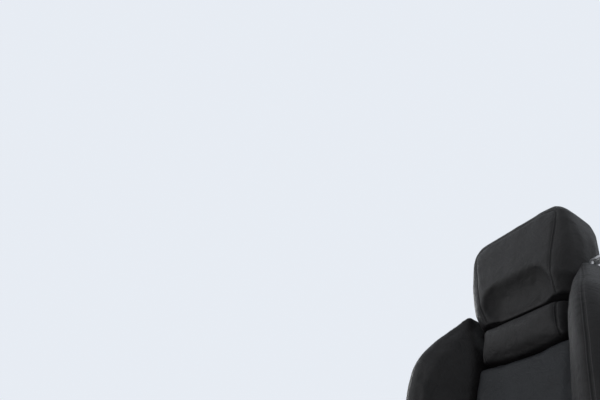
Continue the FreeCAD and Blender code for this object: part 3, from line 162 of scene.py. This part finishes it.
def metal(name, dark, light, roughness, scale=20.0, wear=(0.6, 0.6, 0.6), depth=0.00003, **sockets):
    """Plated or painted metal: clouded between two tones, with worn edges in a third."""
    material, tree, shader = finish(name, light, roughness, **sockets)
    clouds = placed_group(tree, clouding, Scale=scale, Fine=14.0)
    edge = placed_group(tree, edge_wear, Width=0.0012, Patchiness=0.48)
    color = two_tone(tree, clouds.outputs["Patches"], dark, light)
    tree.links.new(two_tone(tree, edge.outputs["Mask"], color, wear), shader.inputs["Base Color"])
    rough = ranged(tree, clouds.outputs["Patches"], 0.0, 1.0, roughness + 0.09, roughness - 0.06)
    tree.links.new(rough, shader.inputs["Roughness"])
    bump(tree, shader, clouds.outputs["Grain"], depth)
    return material


def dress(material, *names):
    """Give CAD nodes their material."""
    for name in names:
        nodes[name].data.materials.clear()
        nodes[name].data.materials.append(material)


def pair(name):
    """The two nodes of a piece that is on both sides: the door's and the tunnel's."""
    return [f"{name}_{side}" for side in ("outboard", "inboard")]


zinc = metal("zinc plated rail steel", (0.30, 0.30, 0.29), (0.46, 0.46, 0.44), 0.38, scale=14.0,
             wear=(0.62, 0.62, 0.61), Metallic=0.9)
dress(zinc, *pair("lower_rail"), *pair("foot_front"), *pair("foot_rear"))

# Upper rails, adjusting bar, height links and cross tubes. Steel pressings and tube with black
# dip primer, rubbed at its edges. The links turn on shouldered pins in the rails, and the bar is
# welded to the rails' webs.

primer = metal("black dip primer", (0.016, 0.016, 0.017), (0.030, 0.030, 0.031), 0.42, scale=30.0,
               wear=(0.20, 0.19, 0.18))
dress(primer, *pair("upper_rail"), *pair("link_front"), *pair("link_rear"))
dress(primer, "cross_tube_front", "cross_tube_rear")
dress(metal("adjusting bar coating", (0.012, 0.012, 0.013), (0.022, 0.022, 0.023), 0.34, scale=60.0,
            wear=(0.10, 0.10, 0.10)), "latch_bar")

# Cushion side frames, pan and backrest arms. Deep drawn sheet steel in the same black primer.
# The pan hangs between the frames and carries the cushion foam, and the arms run up inside the
# back shell.

dress(primer, *pair("side_frame"), "cushion_pan", *pair("back_arm"))

# Recliners. Fine blanked steel discs, phosphated grey and oiled, riveted to the side frames,
# with the backrest arms turning in them.

phosphate = metal("phosphated recliner steel", (0.10, 0.10, 0.105), (0.17, 0.17, 0.175), 0.45,
                  scale=40.0, wear=(0.34, 0.34, 0.34), Metallic=0.6)
dress(phosphate, *pair("recliner"))

# Cushion foam base. The lower half of the cushion's moulded foam, faced with black needled felt.
# It lies flat on the pan between the side frames, and the covers above are pulled down round it.

COVER_PRESSURE, COVER_STRETCH, COVER_BEND = 4.0, 12, 0.6
SWELL_FRAMES, SWELL_QUALITY = 14, 3
# Slack of a worn hide: how far it stands off the foam, and its waves to the metre.
SLACK, SLACK_SCALE = 0.0011, 20.0


def new_object(name, bm, material=None, smooth=True):
    """Object of a finished bmesh, in the scene and at the origin."""
    mesh = bpy.data.meshes.new(name)
    bm.to_mesh(mesh)
    bm.free()
    made = bpy.data.objects.new(name, mesh)
    bpy.context.scene.collection.objects.link(made)
    if smooth:
        mesh.polygons.foreach_set("use_smooth", [True] * len(mesh.polygons))
    if material:
        mesh.materials.append(material)
    return made


def settle(made):
    """Apply the object's modifiers to its mesh."""
    graph = bpy.context.evaluated_depsgraph_get()
    mesh = bpy.data.meshes.new_from_object(made.evaluated_get(graph))
    made.modifiers.clear()
    made.data = mesh


def read_points(mesh):
    """Vertex places of a mesh as an array."""
    flat = np.empty(len(mesh.vertices) * 3)
    mesh.vertices.foreach_get("co", flat)
    return flat.reshape(-1, 3)


def read_normals(mesh):
    """Vertex normals of a mesh as an array."""
    flat = np.empty(len(mesh.vertices) * 3)
    mesh.vertex_normals.foreach_get("vector", flat)
    return flat.reshape(-1, 3)


def write_points(mesh, points):
    """Set a mesh's vertex places."""
    mesh.vertices.foreach_set("co", points.ravel())
    mesh.update()


def swell(made, most):
    """Cloth simulation of a cover under the push of its foam, kept to its outward part."""
    before, outward = read_points(made.data), read_normals(made.data)
    cloth = made.modifiers.new("cover", "CLOTH")
    cloth.settings.use_pressure = True
    cloth.settings.uniform_pressure_force = COVER_PRESSURE
    cloth.settings.effector_weights.gravity = 0
    cloth.settings.quality = SWELL_QUALITY
    cloth.settings.bending_stiffness = COVER_BEND
    cloth.settings.tension_stiffness = cloth.settings.compression_stiffness = COVER_STRETCH
    cloth.point_cache.frame_start, cloth.point_cache.frame_end = 1, SWELL_FRAMES
    for step in range(1, SWELL_FRAMES + 1):
        bpy.context.scene.frame_set(step)
    settle(made)
    bpy.context.scene.frame_set(1)
    risen = ((read_points(made.data) - before) * outward).sum(axis=1)
    write_points(made.data, before + outward * np.clip(risen, 0, most)[:, None])


def relax(mesh, rounds):
    """Smooth a mesh's points towards their neighbours, which rounds its edges."""
    bm = bmesh.new()
    bm.from_mesh(mesh)
    for _ in range(rounds):
        bmesh.ops.smooth_vert(bm, verts=bm.verts, factor=0.5,
                              use_axis_x=True, use_axis_y=True, use_axis_z=True)
    bm.to_mesh(mesh)
    bm.free()


def pad(name, node, material, drawn_in=0.003, voxel=0.006, rounding=4, most=0.0045):
    """Foam pad in its cover: the CAD block drawn in, its edges rounded, and swollen again."""
    bm = bmesh.new()
    bm.from_mesh(nodes[node].data)
    bmesh.ops.remove_doubles(bm, verts=bm.verts, dist=1e-6)
    made = new_object(name, bm)
    skin = made.modifiers.new("even skin", "REMESH")
    skin.mode = "VOXEL"
    skin.voxel_size = voxel
    settle(made)
    write_points(made.data, read_points(made.data) - read_normals(made.data) * drawn_in)
    relax(made.data, rounding)
    swell(made, most)
    points, outward = read_points(made.data), read_normals(made.data)
    waves = np.array([noise.fractal(Vector(point) * SLACK_SCALE, 1.0, 2.0, 3) for point in points])
    write_points(made.data, points + outward * SLACK * waves[:, None])
    relax(made.data, 1)
    skin = made.modifiers.new("finer skin", "SUBSURF")
    skin.levels = skin.render_levels = 1
    settle(made)
    made.data.polygons.foreach_set("use_smooth", [True] * len(made.data.polygons))
    made.data.materials.clear()
    made.data.materials.append(material)
    return made


def upholster(made, body_name, node):
    """Tell the frame what a cover rides on and replaces."""
    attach(made, body_name)
    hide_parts(node)


felt, tree, shader = finish("needled felt", (0.020, 0.020, 0.021), 0.95)
fibres = speckle(tree, on_object(tree), 900.0, 5.0, distortion=2.5)
color = two_tone(tree, fibres, (0.008, 0.008, 0.009), (0.034, 0.034, 0.036))
tree.links.new(color, shader.inputs["Base Color"])
bump(tree, shader, fibres, 0.0005)
base = pad("cushion_base_cover", "cushion_base", felt, drawn_in=0.002, rounding=2, most=0.0025)
upholster(base, "cushion", "cushion_base")

# Cushion centre panel. A finer black hide over the foam, cut in four pieces from front to rear. Its
# colours have a cool blue cast, which is painted sky reflection. They are sewn across with their seams
# pulled down into the foam, so that each piece crowns, and top stitched with bonded thread on both
# sides of every seam.

# Both tones carry painted sky reflection: a cool blue cast over the black hide.
PANEL_DARK_SKY_TINTED, PANEL_LIGHT_SKY_TINTED = (0.0060, 0.0068, 0.0080), (0.0125, 0.0140, 0.0165)

# Leather grain: cells between creases with pores in them, folds, and a tone that varies at random,
# with painted shade that keeps it darker in the creases.
hide, taken, given = node_group("leather grain", {"Cells": 700.0, "Folds": 0.0}, ["Height", "Shade"])
place = on_object(hide)
warp = shade(hide, "TexNoise", {"Vector": place, "Scale": 260.0, "Detail": 2.0}).outputs["Color"]
warp = shade(hide, "VectorMath", {0: warp, 3: 0.0016}, operation="SCALE").outputs["Vector"]
warped = shade(hide, "VectorMath", {0: place, 1: warp}, operation="ADD").outputs["Vector"]
cells = shade(hide, "TexVoronoi", {"Vector": warped, "Scale": taken["Cells"]}, feature="DISTANCE_TO_EDGE")
creases = ranged(hide, cells.outputs["Distance"], 0.0, 0.22, 0.0, 1.0)
folds = worked(hide, "SUBTRACT", speckle(hide, warped, 34.0, 3.0, distortion=0.8), 0.5)
folds = ranged(hide, worked(hide, "ABSOLUTE", folds), 0.0, 0.09, 0.0, 1.6)
relief = worked(hide, "MULTIPLY_ADD", creases, 0.75, speckle(hide, place, 2600.0, 2.0))
hide.links.new(worked(hide, "MULTIPLY_ADD", folds, taken["Folds"], relief), given["Height"])
tone = ranged(hide, speckle(hide, place, 26.0, 4.0), 0.3, 0.7, 0.25, 0.7)
# Painted shade: the tone is kept lower in the creases than on the cells between them.
hide.links.new(worked(hide, "MULTIPLY_ADD", creases, 0.2, tone, use_clamp=True), given["Shade"])

# Seam: the furrow that its thread pulls into the cover, and the puckers that run out from it.
# The cover carries the distance across and the place along its nearest seam, in metres.
furrow, taken, given = node_group("seam furrow", {"Width": 0.0016, "Pucker": 0.009}, ["Furrow", "Puckers"])
across = shade(furrow, "Attribute", attribute_name="seam_across").outputs["Fac"]
along = shade(furrow, "Attribute", attribute_name="seam_along").outputs["Fac"]
off = worked(furrow, "ABSOLUTE", across)
bell = worked(furrow, "POWER", worked(furrow, "DIVIDE", off, taken["Width"]), 2.0)
bell = worked(furrow, "EXPONENT", worked(furrow, "MULTIPLY", bell, -1.0))
furrow.links.new(bell, given["Furrow"])
spread = shade(furrow, "CombineXYZ", {"X": along, "Y": across}).outputs["Vector"]
spread = shade(furrow, "Mapping", {"Vector": spread, "Scale": (1.0, 0.28, 1.0)}).outputs["Vector"]
fade = ranged(furrow, worked(furrow, "DIVIDE", off, taken["Pucker"]), 0.0, 1.6, 1.0, 0.0)
ripple = speckle(furrow, spread, 150.0, 1.0)
furrow.links.new(worked(furrow, "MULTIPLY", ripple, fade), given["Puckers"])

FURROW_DEEP, PUCKERS_HIGH, GRAIN_DEPTH = -4.0, 5.0, 0.00022


def leather(name, dark, light, cells=700.0):
    """Grained leather: painted shade darkens its creases and seams; a soft sheen varies over the hide."""
    material, tree, shader = finish(name, light, 0.44, Specular_IOR_Level=0.17)
    grain = placed_group(tree, hide, Cells=cells, Folds=1.0)
    seam = placed_group(tree, furrow)
    # The tone is lowered in the seams' furrows as well as in the grain's creases: painted shade.
    tone = worked(tree, "SUBTRACT", grain.outputs["Shade"], seam.outputs["Furrow"], use_clamp=True)
    tree.links.new(two_tone(tree, tone, dark, light), shader.inputs["Base Color"])
    tree.links.new(ranged(tree, tone, 0.0, 1.0, 0.54, 0.44), shader.inputs["Roughness"])
    height = worked(tree, "MULTIPLY_ADD", seam.outputs["Furrow"], FURROW_DEEP, grain.outputs["Height"])
    height = worked(tree, "MULTIPLY_ADD", seam.outputs["Puckers"], PUCKERS_HIGH, height)
    bump(tree, shader, height, GRAIN_DEPTH)
    return material


SEAM_STEP, SEAM_REACH = 0.001, 0.03
SEAM_DEPTH, SEAM_SPREAD = 0.0016, 0.0045


def unit(ways):
    """Rows of an array made one long."""
    return ways / np.linalg.norm(ways, axis=1, keepdims=True)


def surface_of(made):
    """A cover's surface, to cast rays on."""
    bm = bmesh.new()
    bm.from_mesh(made.data)
    surface = BVHTree.FromBMesh(bm)
    bm.free()
    return surface


def seam_line(made, starts, way):
    """Even points, normals and ways along a seam: where a route, cast one way, meets the cover."""
    surface = surface_of(made)
    hits = [hit for hit in (surface.ray_cast(start, way) for start in starts) if hit[0]]
    spots, facing = np.array([hit[0] for hit in hits]), np.array([hit[1] for hit in hits])
    runs = np.concatenate([[0], np.linalg.norm(np.diff(spots, axis=0), axis=1).cumsum()])
    places = np.arange(0, runs[-1], SEAM_STEP)
    even = np.array([np.interp(places, runs, spots[:, i]) for i in range(3)]).T
    outward = unit(np.array([np.interp(places, runs, facing[:, i]) for i in range(3)]).T)
    return {"places": places, "points": even, "outward": outward, "ways": unit(np.gradient(even, axis=0))}


def sew(made, lines):
    """Pull a cover in along its seams, and keep how each point lies across and along the nearest."""
    points, normals = read_points(made.data), read_normals(made.data)
    places, spots, outward, ways = (np.concatenate([line[key] for line in lines])
                                    for key in ("places", "points", "outward", "ways"))
    near = KDTree(len(spots))
    for i, spot in enumerate(spots):
        near.insert(spot, i)
    near.balance()
    found = np.array([near.find(point)[1] for point in points])
    offset = points - spots[found]
    along = (offset * ways[found]).sum(axis=1)
    past_end = np.abs(along) > 3 * SEAM_STEP
    far = past_end | (np.linalg.norm(offset, axis=1) > SEAM_REACH)
    across = (offset * np.cross(outward[found], ways[found])).sum(axis=1)
    across = np.where(far, np.where(across < 0, -SEAM_REACH, SEAM_REACH), across)
    along = along + places[found]
    pulled = SEAM_DEPTH * np.exp(-(across / SEAM_SPREAD) ** 2)
    write_points(made.data, points - normals * pulled[:, None])
    for name, values in (("seam_across", across), ("seam_along", along)):
        kept = made.data.attributes.new(name, "FLOAT", "POINT")
        kept.data.foreach_set("value", values.astype(np.float32))


# One stitch: a short length of thread that dips into the hide at both ends.
THREAD_RADIUS, STITCH_LENGTH, STITCH_PITCH, STITCH_OFF = 0.00042, 0.0034, 0.0044, 0.0032
STITCH_DIP, CAST_FROM = 2.4 * THREAD_RADIUS, 0.008
thread, tree, shader = finish("bonded thread", (0.035, 0.034, 0.035), 0.55)
ply = shade(tree, "TexWave", {"Vector": on_object(tree), "Scale": 900.0, "Distortion": 1.0},
            bands_direction="DIAGONAL").outputs["Fac"]
color = two_tone(tree, ply, (0.022, 0.022, 0.023), (0.046, 0.045, 0.046))
tree.links.new(color, shader.inputs["Base Color"])
bump(tree, shader, ply, 0.00008)

bm = bmesh.new()
bmesh.ops.create_cone(bm, cap_ends=True, segments=5, radius1=THREAD_RADIUS, radius2=THREAD_RADIUS,
                      depth=STITCH_LENGTH)
long_edges = [edge for edge in bm.edges if edge.calc_length() > STITCH_LENGTH / 2]
bmesh.ops.subdivide_edges(bm, edges=long_edges, cuts=2)
bmesh.ops.rotate(bm, verts=bm.verts, matrix=Matrix.Rotation(math.pi / 2, 3, "Y"))
for vertex in bm.verts:
    vertex.co.z -= STITCH_DIP * (2 * vertex.co.x / STITCH_LENGTH) ** 2
one_stitch = bpy.data.meshes.new("stitch")
bm.to_mesh(one_stitch)
bm.free()


def stamp(bm, mesh, place):
    """Add a copy of a small mesh, placed by a matrix."""
    one = mesh.copy()
    one.transform(place)
    bm.from_mesh(one)
    bpy.data.meshes.remove(one)


def stitched(name, made, lines, body_name):
    """Rows of stitches along both sides of a cover's seams."""
    surface = surface_of(made)
    rows = bmesh.new()
    every = round(STITCH_PITCH / SEAM_STEP)
    for line in lines:
        for i in range(every, len(line["points"]) - every, every):
            point, up, way = (Vector(line[key][i]) for key in ("points", "outward", "ways"))
            for sign in (1, -1):
                start = point + up.cross(way) * STITCH_OFF * sign + up * CAST_FROM
                spot, facing, _, _ = surface.ray_cast(start, -up, 2 * CAST_FROM)
                if not spot:
                    continue
                side = facing.cross(way).normalized()
                turned = Matrix((side.cross(facing), side, facing)).transposed().to_4x4()
                stamp(rows, one_stitch, Matrix.Translation(spot + facing * 0.5 * THREAD_RADIUS) @ turned)
    stitches = new_object(name, rows, thread)
    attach(stitches, body_name)


# The seams' routes are cast on to the cover from inside the foam.
PANEL_ACROSS = [x / 1000 for x in range(-114, 115, 4)]
SEAT_SEAMS_AT, UNDER_PANEL, UPWARDS = (0.040, -0.140, -0.285), 0.22, Vector((0, 0, 1))
panel_leather = leather("centre panel leather", PANEL_DARK_SKY_TINTED, PANEL_LIGHT_SKY_TINTED, cells=820.0)
cushion_panel = pad("cushion_panel_cover", "cushion_centre", panel_leather)
seat_seams = [seam_line(cushion_panel, [Vector((x, y, UNDER_PANEL)) for x in PANEL_ACROSS], UPWARDS)
              for y in SEAT_SEAMS_AT]
sew(cushion_panel, seat_seams)
upholster(cushion_panel, "cushion", "cushion_centre")
stitched("cushion_panel_stitching", cushion_panel, seat_seams, "cushion")

# Cushion bolsters. Firmer foam wings in black grained leather, bonded to the foam base on both
# sides of the centre panel. Each has an inner and an outer piece, sewn along the crest from the
# hinge to the nose.

LEATHER_DARK, LEATHER_LIGHT = (0.0052, 0.0050, 0.0052), (0.0130, 0.0122, 0.0126)
UNDER_WING = 0.20


def rounded_route(corners, rounds=4):
    """Close points along a route whose corners are cut round."""
    route = [Vector(corner) for corner in corners]
    for _ in range(rounds):
        turned = [route[0]]
        for a, b in zip(route, route[1:]):
            turned += [a.lerp(b, 0.25), a.lerp(b, 0.75)]
        route = turned + [route[-1]]
    return route


def mirrored_pad(made, name):
    """The same pad on the other side of the seat."""
    bm = bmesh.new()
    bm.from_mesh(made.data)
    bmesh.ops.scale(bm, vec=(-1, 1, 1), verts=bm.verts)
    bmesh.ops.reverse_faces(bm, faces=bm.faces)
    return new_object(name, bm, made.data.materials[0])


def mirrored_lines(lines):
    """The same seams on the other side of the seat."""
    flip = np.array([-1, 1, 1])
    return [{"places": line["places"], "points": line["points"] * flip, "outward": line["outward"] * flip,
             "ways": line["ways"] * flip} for line in lines]


black_leather = leather("black grained leather", LEATHER_DARK, LEATHER_LIGHT)
wing = pad("cushion_bolster_cover_outboard", "cushion_bolster_outboard", black_leather, rounding=12)
wing_route = [(0.222, 0.150), (0.224, 0.060), (0.226, -0.120), (0.224, -0.250), (0.216, -0.310),
              (0.208, -0.338)]
starts = [Vector((x, y, UNDER_WING)) for x, y in rounded_route(wing_route)]
wing_seams = [seam_line(wing, starts, UPWARDS)]
sew(wing, wing_seams)
other_wing = mirrored_pad(wing, "cushion_bolster_cover_inboard")
upholster(wing, "cushion", "cushion_bolster_outboard")
upholster(other_wing, "cushion", "cushion_bolster_inboard")
stitched("cushion_bolster_stitching_outboard", wing, wing_seams, "cushion")
stitched("cushion_bolster_stitching_inboard", other_wing, mirrored_lines(wing_seams), "cushion")

# Side trims and levers. Injection moulded black polypropylene with an eroded grain. The trims
# clip over the side frames, and the levers push on to the splines of their shafts.


def moulded(name, dark, light, roughness=0.46, cells=1100.0):
    """Injection moulded plastic with a fine eroded grain, painted shade in its creases, and shinier rubbed
    edges.
    """
    material, tree, shader = finish(name, light, roughness, Specular_IOR_Level=0.28)
    grain = placed_group(tree, hide, Cells=cells)
    edge = placed_group(tree, edge_wear, Width=0.0016, Patchiness=0.42)
    # The grain's tone is darker in its creases: painted shade.
    tree.links.new(two_tone(tree, grain.outputs["Shade"], dark, light), shader.inputs["Base Color"])
    rough = ranged(tree, edge.outputs["Mask"], 0.0, 1.0, roughness, roughness - 0.14)
    tree.links.new(rough, shader.inputs["Roughness"])
    bump(tree, shader, grain.outputs["Height"], 0.00012)
    return material


trim_plastic = moulded("trim plastic", (0.012, 0.012, 0.013), (0.018, 0.018, 0.019), cells=1400.0)
dress(trim_plastic, *pair("side_trim"), "height_lever", "recline_lever")

# Buckle. A moulded black housing with a red release button, on a stalk of primed steel strip that
# is bolted to the side frame by the tunnel.

button_plastic = moulded("release button plastic", (0.30, 0.012, 0.008), (0.42, 0.020, 0.014),
                         roughness=0.36, cells=1800.0)
dress(primer, "buckle_stalk")
dress(trim_plastic, "buckle")
dress(button_plastic, "buckle_button")

# Backrest centre panel. The same fine hide as on the cushion, in three pieces up the back, sewn
# across and pulled down into the backrest's foam.

joints = {joint["name"]: joint for joint in frame["joints"]}
BACK_UP = Vector(joints["headrest_height"]["axis"]).normalized()
BACK_ANGLE = math.atan2(BACK_UP.y, BACK_UP.z)
BACK_FRAME = Matrix.Translation(joints["recline"]["pos_m"]) @ Matrix.Rotation(-BACK_ANGLE, 4, "X")
BACK_AHEAD = BACK_FRAME.to_3x3() @ Vector((0, -1, 0))
BACK_SEAMS_AT, INSIDE_BACK = (0.170, 0.330), 0.02


def back_point(x, ahead, up):
    """Point given across, ahead of and up the backrest from its axis."""
    return BACK_FRAME @ Vector((x, -ahead, up))


back_panel = pad("back_panel_cover", "backrest_centre", panel_leather, rounding=3)
panel_seams = [seam_line(back_panel, [back_point(x, INSIDE_BACK, up) for x in PANEL_ACROSS], BACK_AHEAD)
               for up in BACK_SEAMS_AT]
sew(back_panel, panel_seams)
upholster(back_panel, "backrest", "backrest_centre")
stitched("back_panel_stitching", back_panel, panel_seams, "backrest")

# Backrest bolsters. Foam wings in black grained leather, each of an inner and an outer piece sewn
# along the crest up to the shoulder. They are hooked over the edge of the back shell.

SHOULDER_LOW, SHOULDER_HIGH, SHOULDER_FILL = 0.500, 0.616, 0.009


def fill_out(made, fill):
    """Move a cover's points in the backrest's own frame: across, behind and up from its axis."""
    turned, place = np.array(BACK_FRAME.to_3x3()), np.array(BACK_FRAME.translation)
    local = (read_points(made.data) - place) @ turned
    fill(local)
    write_points(made.data, local @ turned.T + place)


def fill_shoulder(local):
    """Fill out the bolster's top, which its rounding has drawn in."""
    share = np.clip((local[:, 2] - SHOULDER_LOW) / (SHOULDER_HIGH - SHOULDER_LOW), 0, 1)
    local[:, 2] += SHOULDER_FILL * share ** 2


bolster = pad("back_bolster_cover_outboard", "backrest_bolster_outboard", black_leather, rounding=7)
fill_out(bolster, fill_shoulder)
crest_route = [(0.206, 0.078), (0.210, 0.190), (0.212, 0.330), (0.212, 0.430), (0.206, 0.490),
               (0.192, 0.535), (0.170, 0.575), (0.155, 0.600)]
starts = [back_point(x, INSIDE_BACK, up) for x, up in rounded_route(crest_route)]
crest_seams = [seam_line(bolster, starts, BACK_AHEAD)]
sew(bolster, crest_seams)
other_bolster = mirrored_pad(bolster, "back_bolster_cover_inboard")
upholster(bolster, "backrest", "backrest_bolster_outboard")
upholster(other_bolster, "backrest", "backrest_bolster_inboard")
stitched("back_bolster_stitching_outboard", bolster, crest_seams, "backrest")
stitched("back_bolster_stitching_inboard", other_bolster, mirrored_lines(crest_seams), "backrest")

# Neck roll. A firm foam roll in black grained leather between the shoulders. Its end caps are
# sewn on near each end, and it is held to the shell by its cover.

ROLL_CAP = 0.090
ROLL_UP = [up / 1000 for up in range(488, 566, 3)]
roll = pad("neck_roll_cover", "neck_roll", black_leather, voxel=0.005)
roll_seams = [seam_line(roll, [back_point(x, INSIDE_BACK, up) for up in ROLL_UP], BACK_AHEAD)
              for x in (ROLL_CAP, -ROLL_CAP)]
sew(roll, roll_seams)
upholster(roll, "backrest", "neck_roll")
stitched("neck_roll_stitching", roll, roll_seams, "backrest")

# Back shell. One large moulding in grained black polypropylene, clipped round the edge of the
# backrest's foam and screwed to the backrest arms.

shell_plastic = moulded("back shell plastic", (0.014, 0.014, 0.015), (0.021, 0.021, 0.022))
dress(shell_plastic, "back_shell")

# Headrest posts and their sleeves. Drawn steel tube, chrome plated, with height notches in one
# post. The posts slide in moulded sleeves that are pushed into the shell's top.

chrome = metal("post chrome", (0.66, 0.67, 0.69), (0.72, 0.73, 0.75), 0.12, scale=60.0,
               wear=(0.75, 0.75, 0.76), depth=0.000004, Metallic=1.0)
dress(chrome, *pair("headrest_post"))
dress(trim_plastic, *pair("post_sleeve"))

# Headrest. Foam moulded round the posts, in black grained leather. One face panel runs round the
# hollow at its foot and is sewn to a band that goes up both sides and over the top.

HEAD_BASE, HEAD_HEIGHT, HEAD_HALF = 0.575, 0.210, 0.136
HEAD_CROWN, HEAD_FLANK = 0.0085, 0.005
FLANK_MIDDLE, FLANK_REACH = 0.45, 0.38
INSIDE_HEAD = 0.03


def fill_headrest(local):
    """Crown the headrest's top between its corners, and fill out its flanks low down."""
    side = local[:, 0] / HEAD_HALF
    share = np.clip((local[:, 2] - HEAD_BASE) / HEAD_HEIGHT, 0, 1)
    off = np.clip((share - FLANK_MIDDLE) / FLANK_REACH, -1, 1)
    local[:, 0] += HEAD_FLANK * side ** 3 * np.cos(off * math.pi / 2) ** 2
    local[:, 2] += HEAD_CROWN * share ** 3 * (1 - 1.5 * side ** 6)


headrest = pad("headrest_cover", "headrest", black_leather, drawn_in=0.001, voxel=0.004, rounding=3,
               most=0.004)
fill_out(headrest, fill_headrest)
half_route = [(0.088, 0.006), (0.092, 0.034), (0.103, 0.105), (0.114, 0.160), (0.113, 0.193),
              (0.080, 0.199)]
face_route = half_route + [(-x, up) for x, up in reversed(half_route)]
starts = [back_point(x, INSIDE_HEAD, HEAD_BASE + up) for x, up in rounded_route(face_route)]
head_seams = [seam_line(headrest, starts, BACK_AHEAD)]
sew(headrest, head_seams)
upholster(headrest, "headrest_body", "headrest")
stitched("headrest_stitching", headrest, head_seams, "headrest_body")

# Belt guide and its screws. A loop of satin steel over the door-side shoulder, to lead the belt.
# Two zinc plated button heads with round sockets hold its stem to an insert in the shell.

satin = metal("satin guide steel", (0.50, 0.50, 0.51), (0.60, 0.60, 0.61), 0.28, scale=50.0,
              wear=(0.70, 0.70, 0.70), depth=0.00001, Metallic=1.0)
dress(satin, "belt_guide")

SCREW_RADIUS, SCREW_HEIGHT, TOP_RADIUS = 0.0052, 0.0026, 0.00416
SOCKET_RADIUS, SOCKET_DEPTH, SOCKET_TAPER = 0.0018, 0.0018, 0.0002
GUIDE_X, STEM_BACK, SCREW_HEIGHTS = 0.170, 0.055, (0.588, 0.548)
bm = bmesh.new()
bmesh.ops.create_cone(bm, cap_ends=True, segments=24, radius1=SCREW_RADIUS, radius2=TOP_RADIUS,
                      depth=SCREW_HEIGHT)
top = max(bm.faces, key=lambda face: face.calc_center_median().z)
bmesh.ops.inset_region(bm, faces=[top], thickness=TOP_RADIUS - SOCKET_RADIUS, depth=0)
bmesh.ops.inset_region(bm, faces=[top], thickness=SOCKET_TAPER, depth=-SOCKET_DEPTH)
screw_head = bpy.data.meshes.new("screw head")
bm.to_mesh(screw_head)
bm.free()

bm = bmesh.new()
facing_back = Matrix.Rotation(-math.pi / 2, 4, "X")
for up in SCREW_HEIGHTS:
    seated = Matrix.Translation((GUIDE_X, STEM_BACK + 0.45 * SCREW_HEIGHT, up))
    stamp(bm, screw_head, BACK_FRAME @ seated @ facing_back)
screws = new_object("guide_screws", bm, zinc, smooth=False)
rounding = screws.modifiers.new("rounded head", "BEVEL")
rounding.width, rounding.segments, rounding.limit_method = 0.0004, 2, "ANGLE"
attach(screws, "backrest")

# Studio. A pale floor that carries the seat and fades into a pale surround for the camera, with
# soft lamps at the front, behind on the tunnel side, and on the door side.

FLOOR_HALF, FADE_STARTS, FADE_ENDS = 30.0, 1.3, 3.2
SURROUND = (0.80, 0.84, 0.90)
bm = bmesh.new()
bmesh.ops.create_grid(bm, x_segments=1, y_segments=1, size=FLOOR_HALF)
floor = new_object("floor", bm, smooth=False)
paper, tree, shader = finish("pale floor", (0.80, 0.81, 0.82), 0.7, Specular_IOR_Level=0.1)
place = on_object(tree)
sweep = two_tone(tree, speckle(tree, place, 3.0, 2.0), (0.78, 0.79, 0.80), (0.82, 0.83, 0.84))
tree.links.new(sweep, shader.inputs["Base Color"])
distance = shade(tree, "VectorMath", {0: place}, operation="LENGTH").outputs["Value"]
far = ranged(tree, distance, FADE_STARTS, FADE_ENDS, 0.0, 1.0)
seen = worked(tree, "MULTIPLY", far, shade(tree, "LightPath").outputs["Is Camera Ray"])
haze = shade(tree, "Emission", {"Color": (*SURROUND, 1), "Strength": 1.0})
blend = shade(tree, "MixShader", {0: seen, 1: shader.outputs[0], 2: haze.outputs[0]})
tree.links.new(blend.outputs[0], tree.nodes["Material Output"].inputs["Surface"])
floor.data.materials.append(paper)

world = bpy.data.worlds.new("studio")
world.use_nodes = True
bpy.context.scene.world = world
tree = world.node_tree
tree.nodes.clear()
ray = shade(tree, "LightPath").outputs
seen = worked(tree, "MAXIMUM", ray["Is Camera Ray"], ray["Is Glossy Ray"])
seen = worked(tree, "MAXIMUM", seen, ray["Is Transmission Ray"])
surround = shade(tree, "Background", {"Color": (*SURROUND, 1), "Strength": 1.0})
fill_light = shade(tree, "Background", {"Color": (0.97, 0.98, 1.0, 1), "Strength": 0.55})
blend = shade(tree, "MixShader", {0: seen, 1: fill_light.outputs[0], 2: surround.outputs[0]})
shade(tree, "OutputWorld", {"Surface": blend.outputs[0]})


def lamp(name, place, aim, power, size):
    """Soft square lamp turned to a point."""
    light = bpy.data.lights.new(name, "AREA")
    light.energy = power
    light.size = size
    made = bpy.data.objects.new(name, light)
    made.location = place
    made.rotation_mode = "QUATERNION"
    made.rotation_quaternion = (Vector(aim) - Vector(place)).to_track_quat("-Z", "Y")
    bpy.context.scene.collection.objects.link(made)


lamp("key_lamp", (-2.4, -2.2, 2.8), (0, 0.2, 0.6), 54, 2.0)
lamp("rim_lamp", (-2.6, 1.2, 1.4), (0, 0.2, 0.8), 30, 1.4)
lamp("side_lamp", (2.6, 0.6, 2.2), (0, 0.2, 0.5), 7, 2.0)

# Camera. Low in front of the door-side knee, looking up past the backrest, as in the photograph.
# Its place, turn and focal length were worked out from the headrest's corners and seams.

CAMERA_PLACE = Vector((0.678, -0.496, 0.420))
CAMERA_HEADING, CAMERA_PITCH, CAMERA_ROLL = (math.radians(angle) for angle in (60.8, 33.1, -2.3))
PHOTO_WIDTH, FOCAL_PIXELS, SENSOR = 600, 534, 36.0
camera_data = bpy.data.cameras.new("camera")
camera_data.sensor_width = SENSOR
camera_data.lens = SENSOR * FOCAL_PIXELS / PHOTO_WIDTH
camera = bpy.data.objects.new("camera", camera_data)
level = Vector((-math.sin(CAMERA_HEADING), math.cos(CAMERA_HEADING), 0))
across = Vector((math.cos(CAMERA_HEADING), math.sin(CAMERA_HEADING), 0))
look = level * math.cos(CAMERA_PITCH) + UPWARDS * math.sin(CAMERA_PITCH)
upward = UPWARDS * math.cos(CAMERA_PITCH) - level * math.sin(CAMERA_PITCH)
right = across * math.cos(CAMERA_ROLL) + upward * math.sin(CAMERA_ROLL)
top = upward * math.cos(CAMERA_ROLL) - across * math.sin(CAMERA_ROLL)
camera.rotation_mode = "QUATERNION"
camera.rotation_quaternion = Matrix((right, top, -look)).transposed().to_quaternion()
camera.location = CAMERA_PLACE
bpy.context.scene.collection.objects.link(camera)
bpy.context.scene.camera = camera
bpy.context.scene.view_settings.view_transform = "Standard"
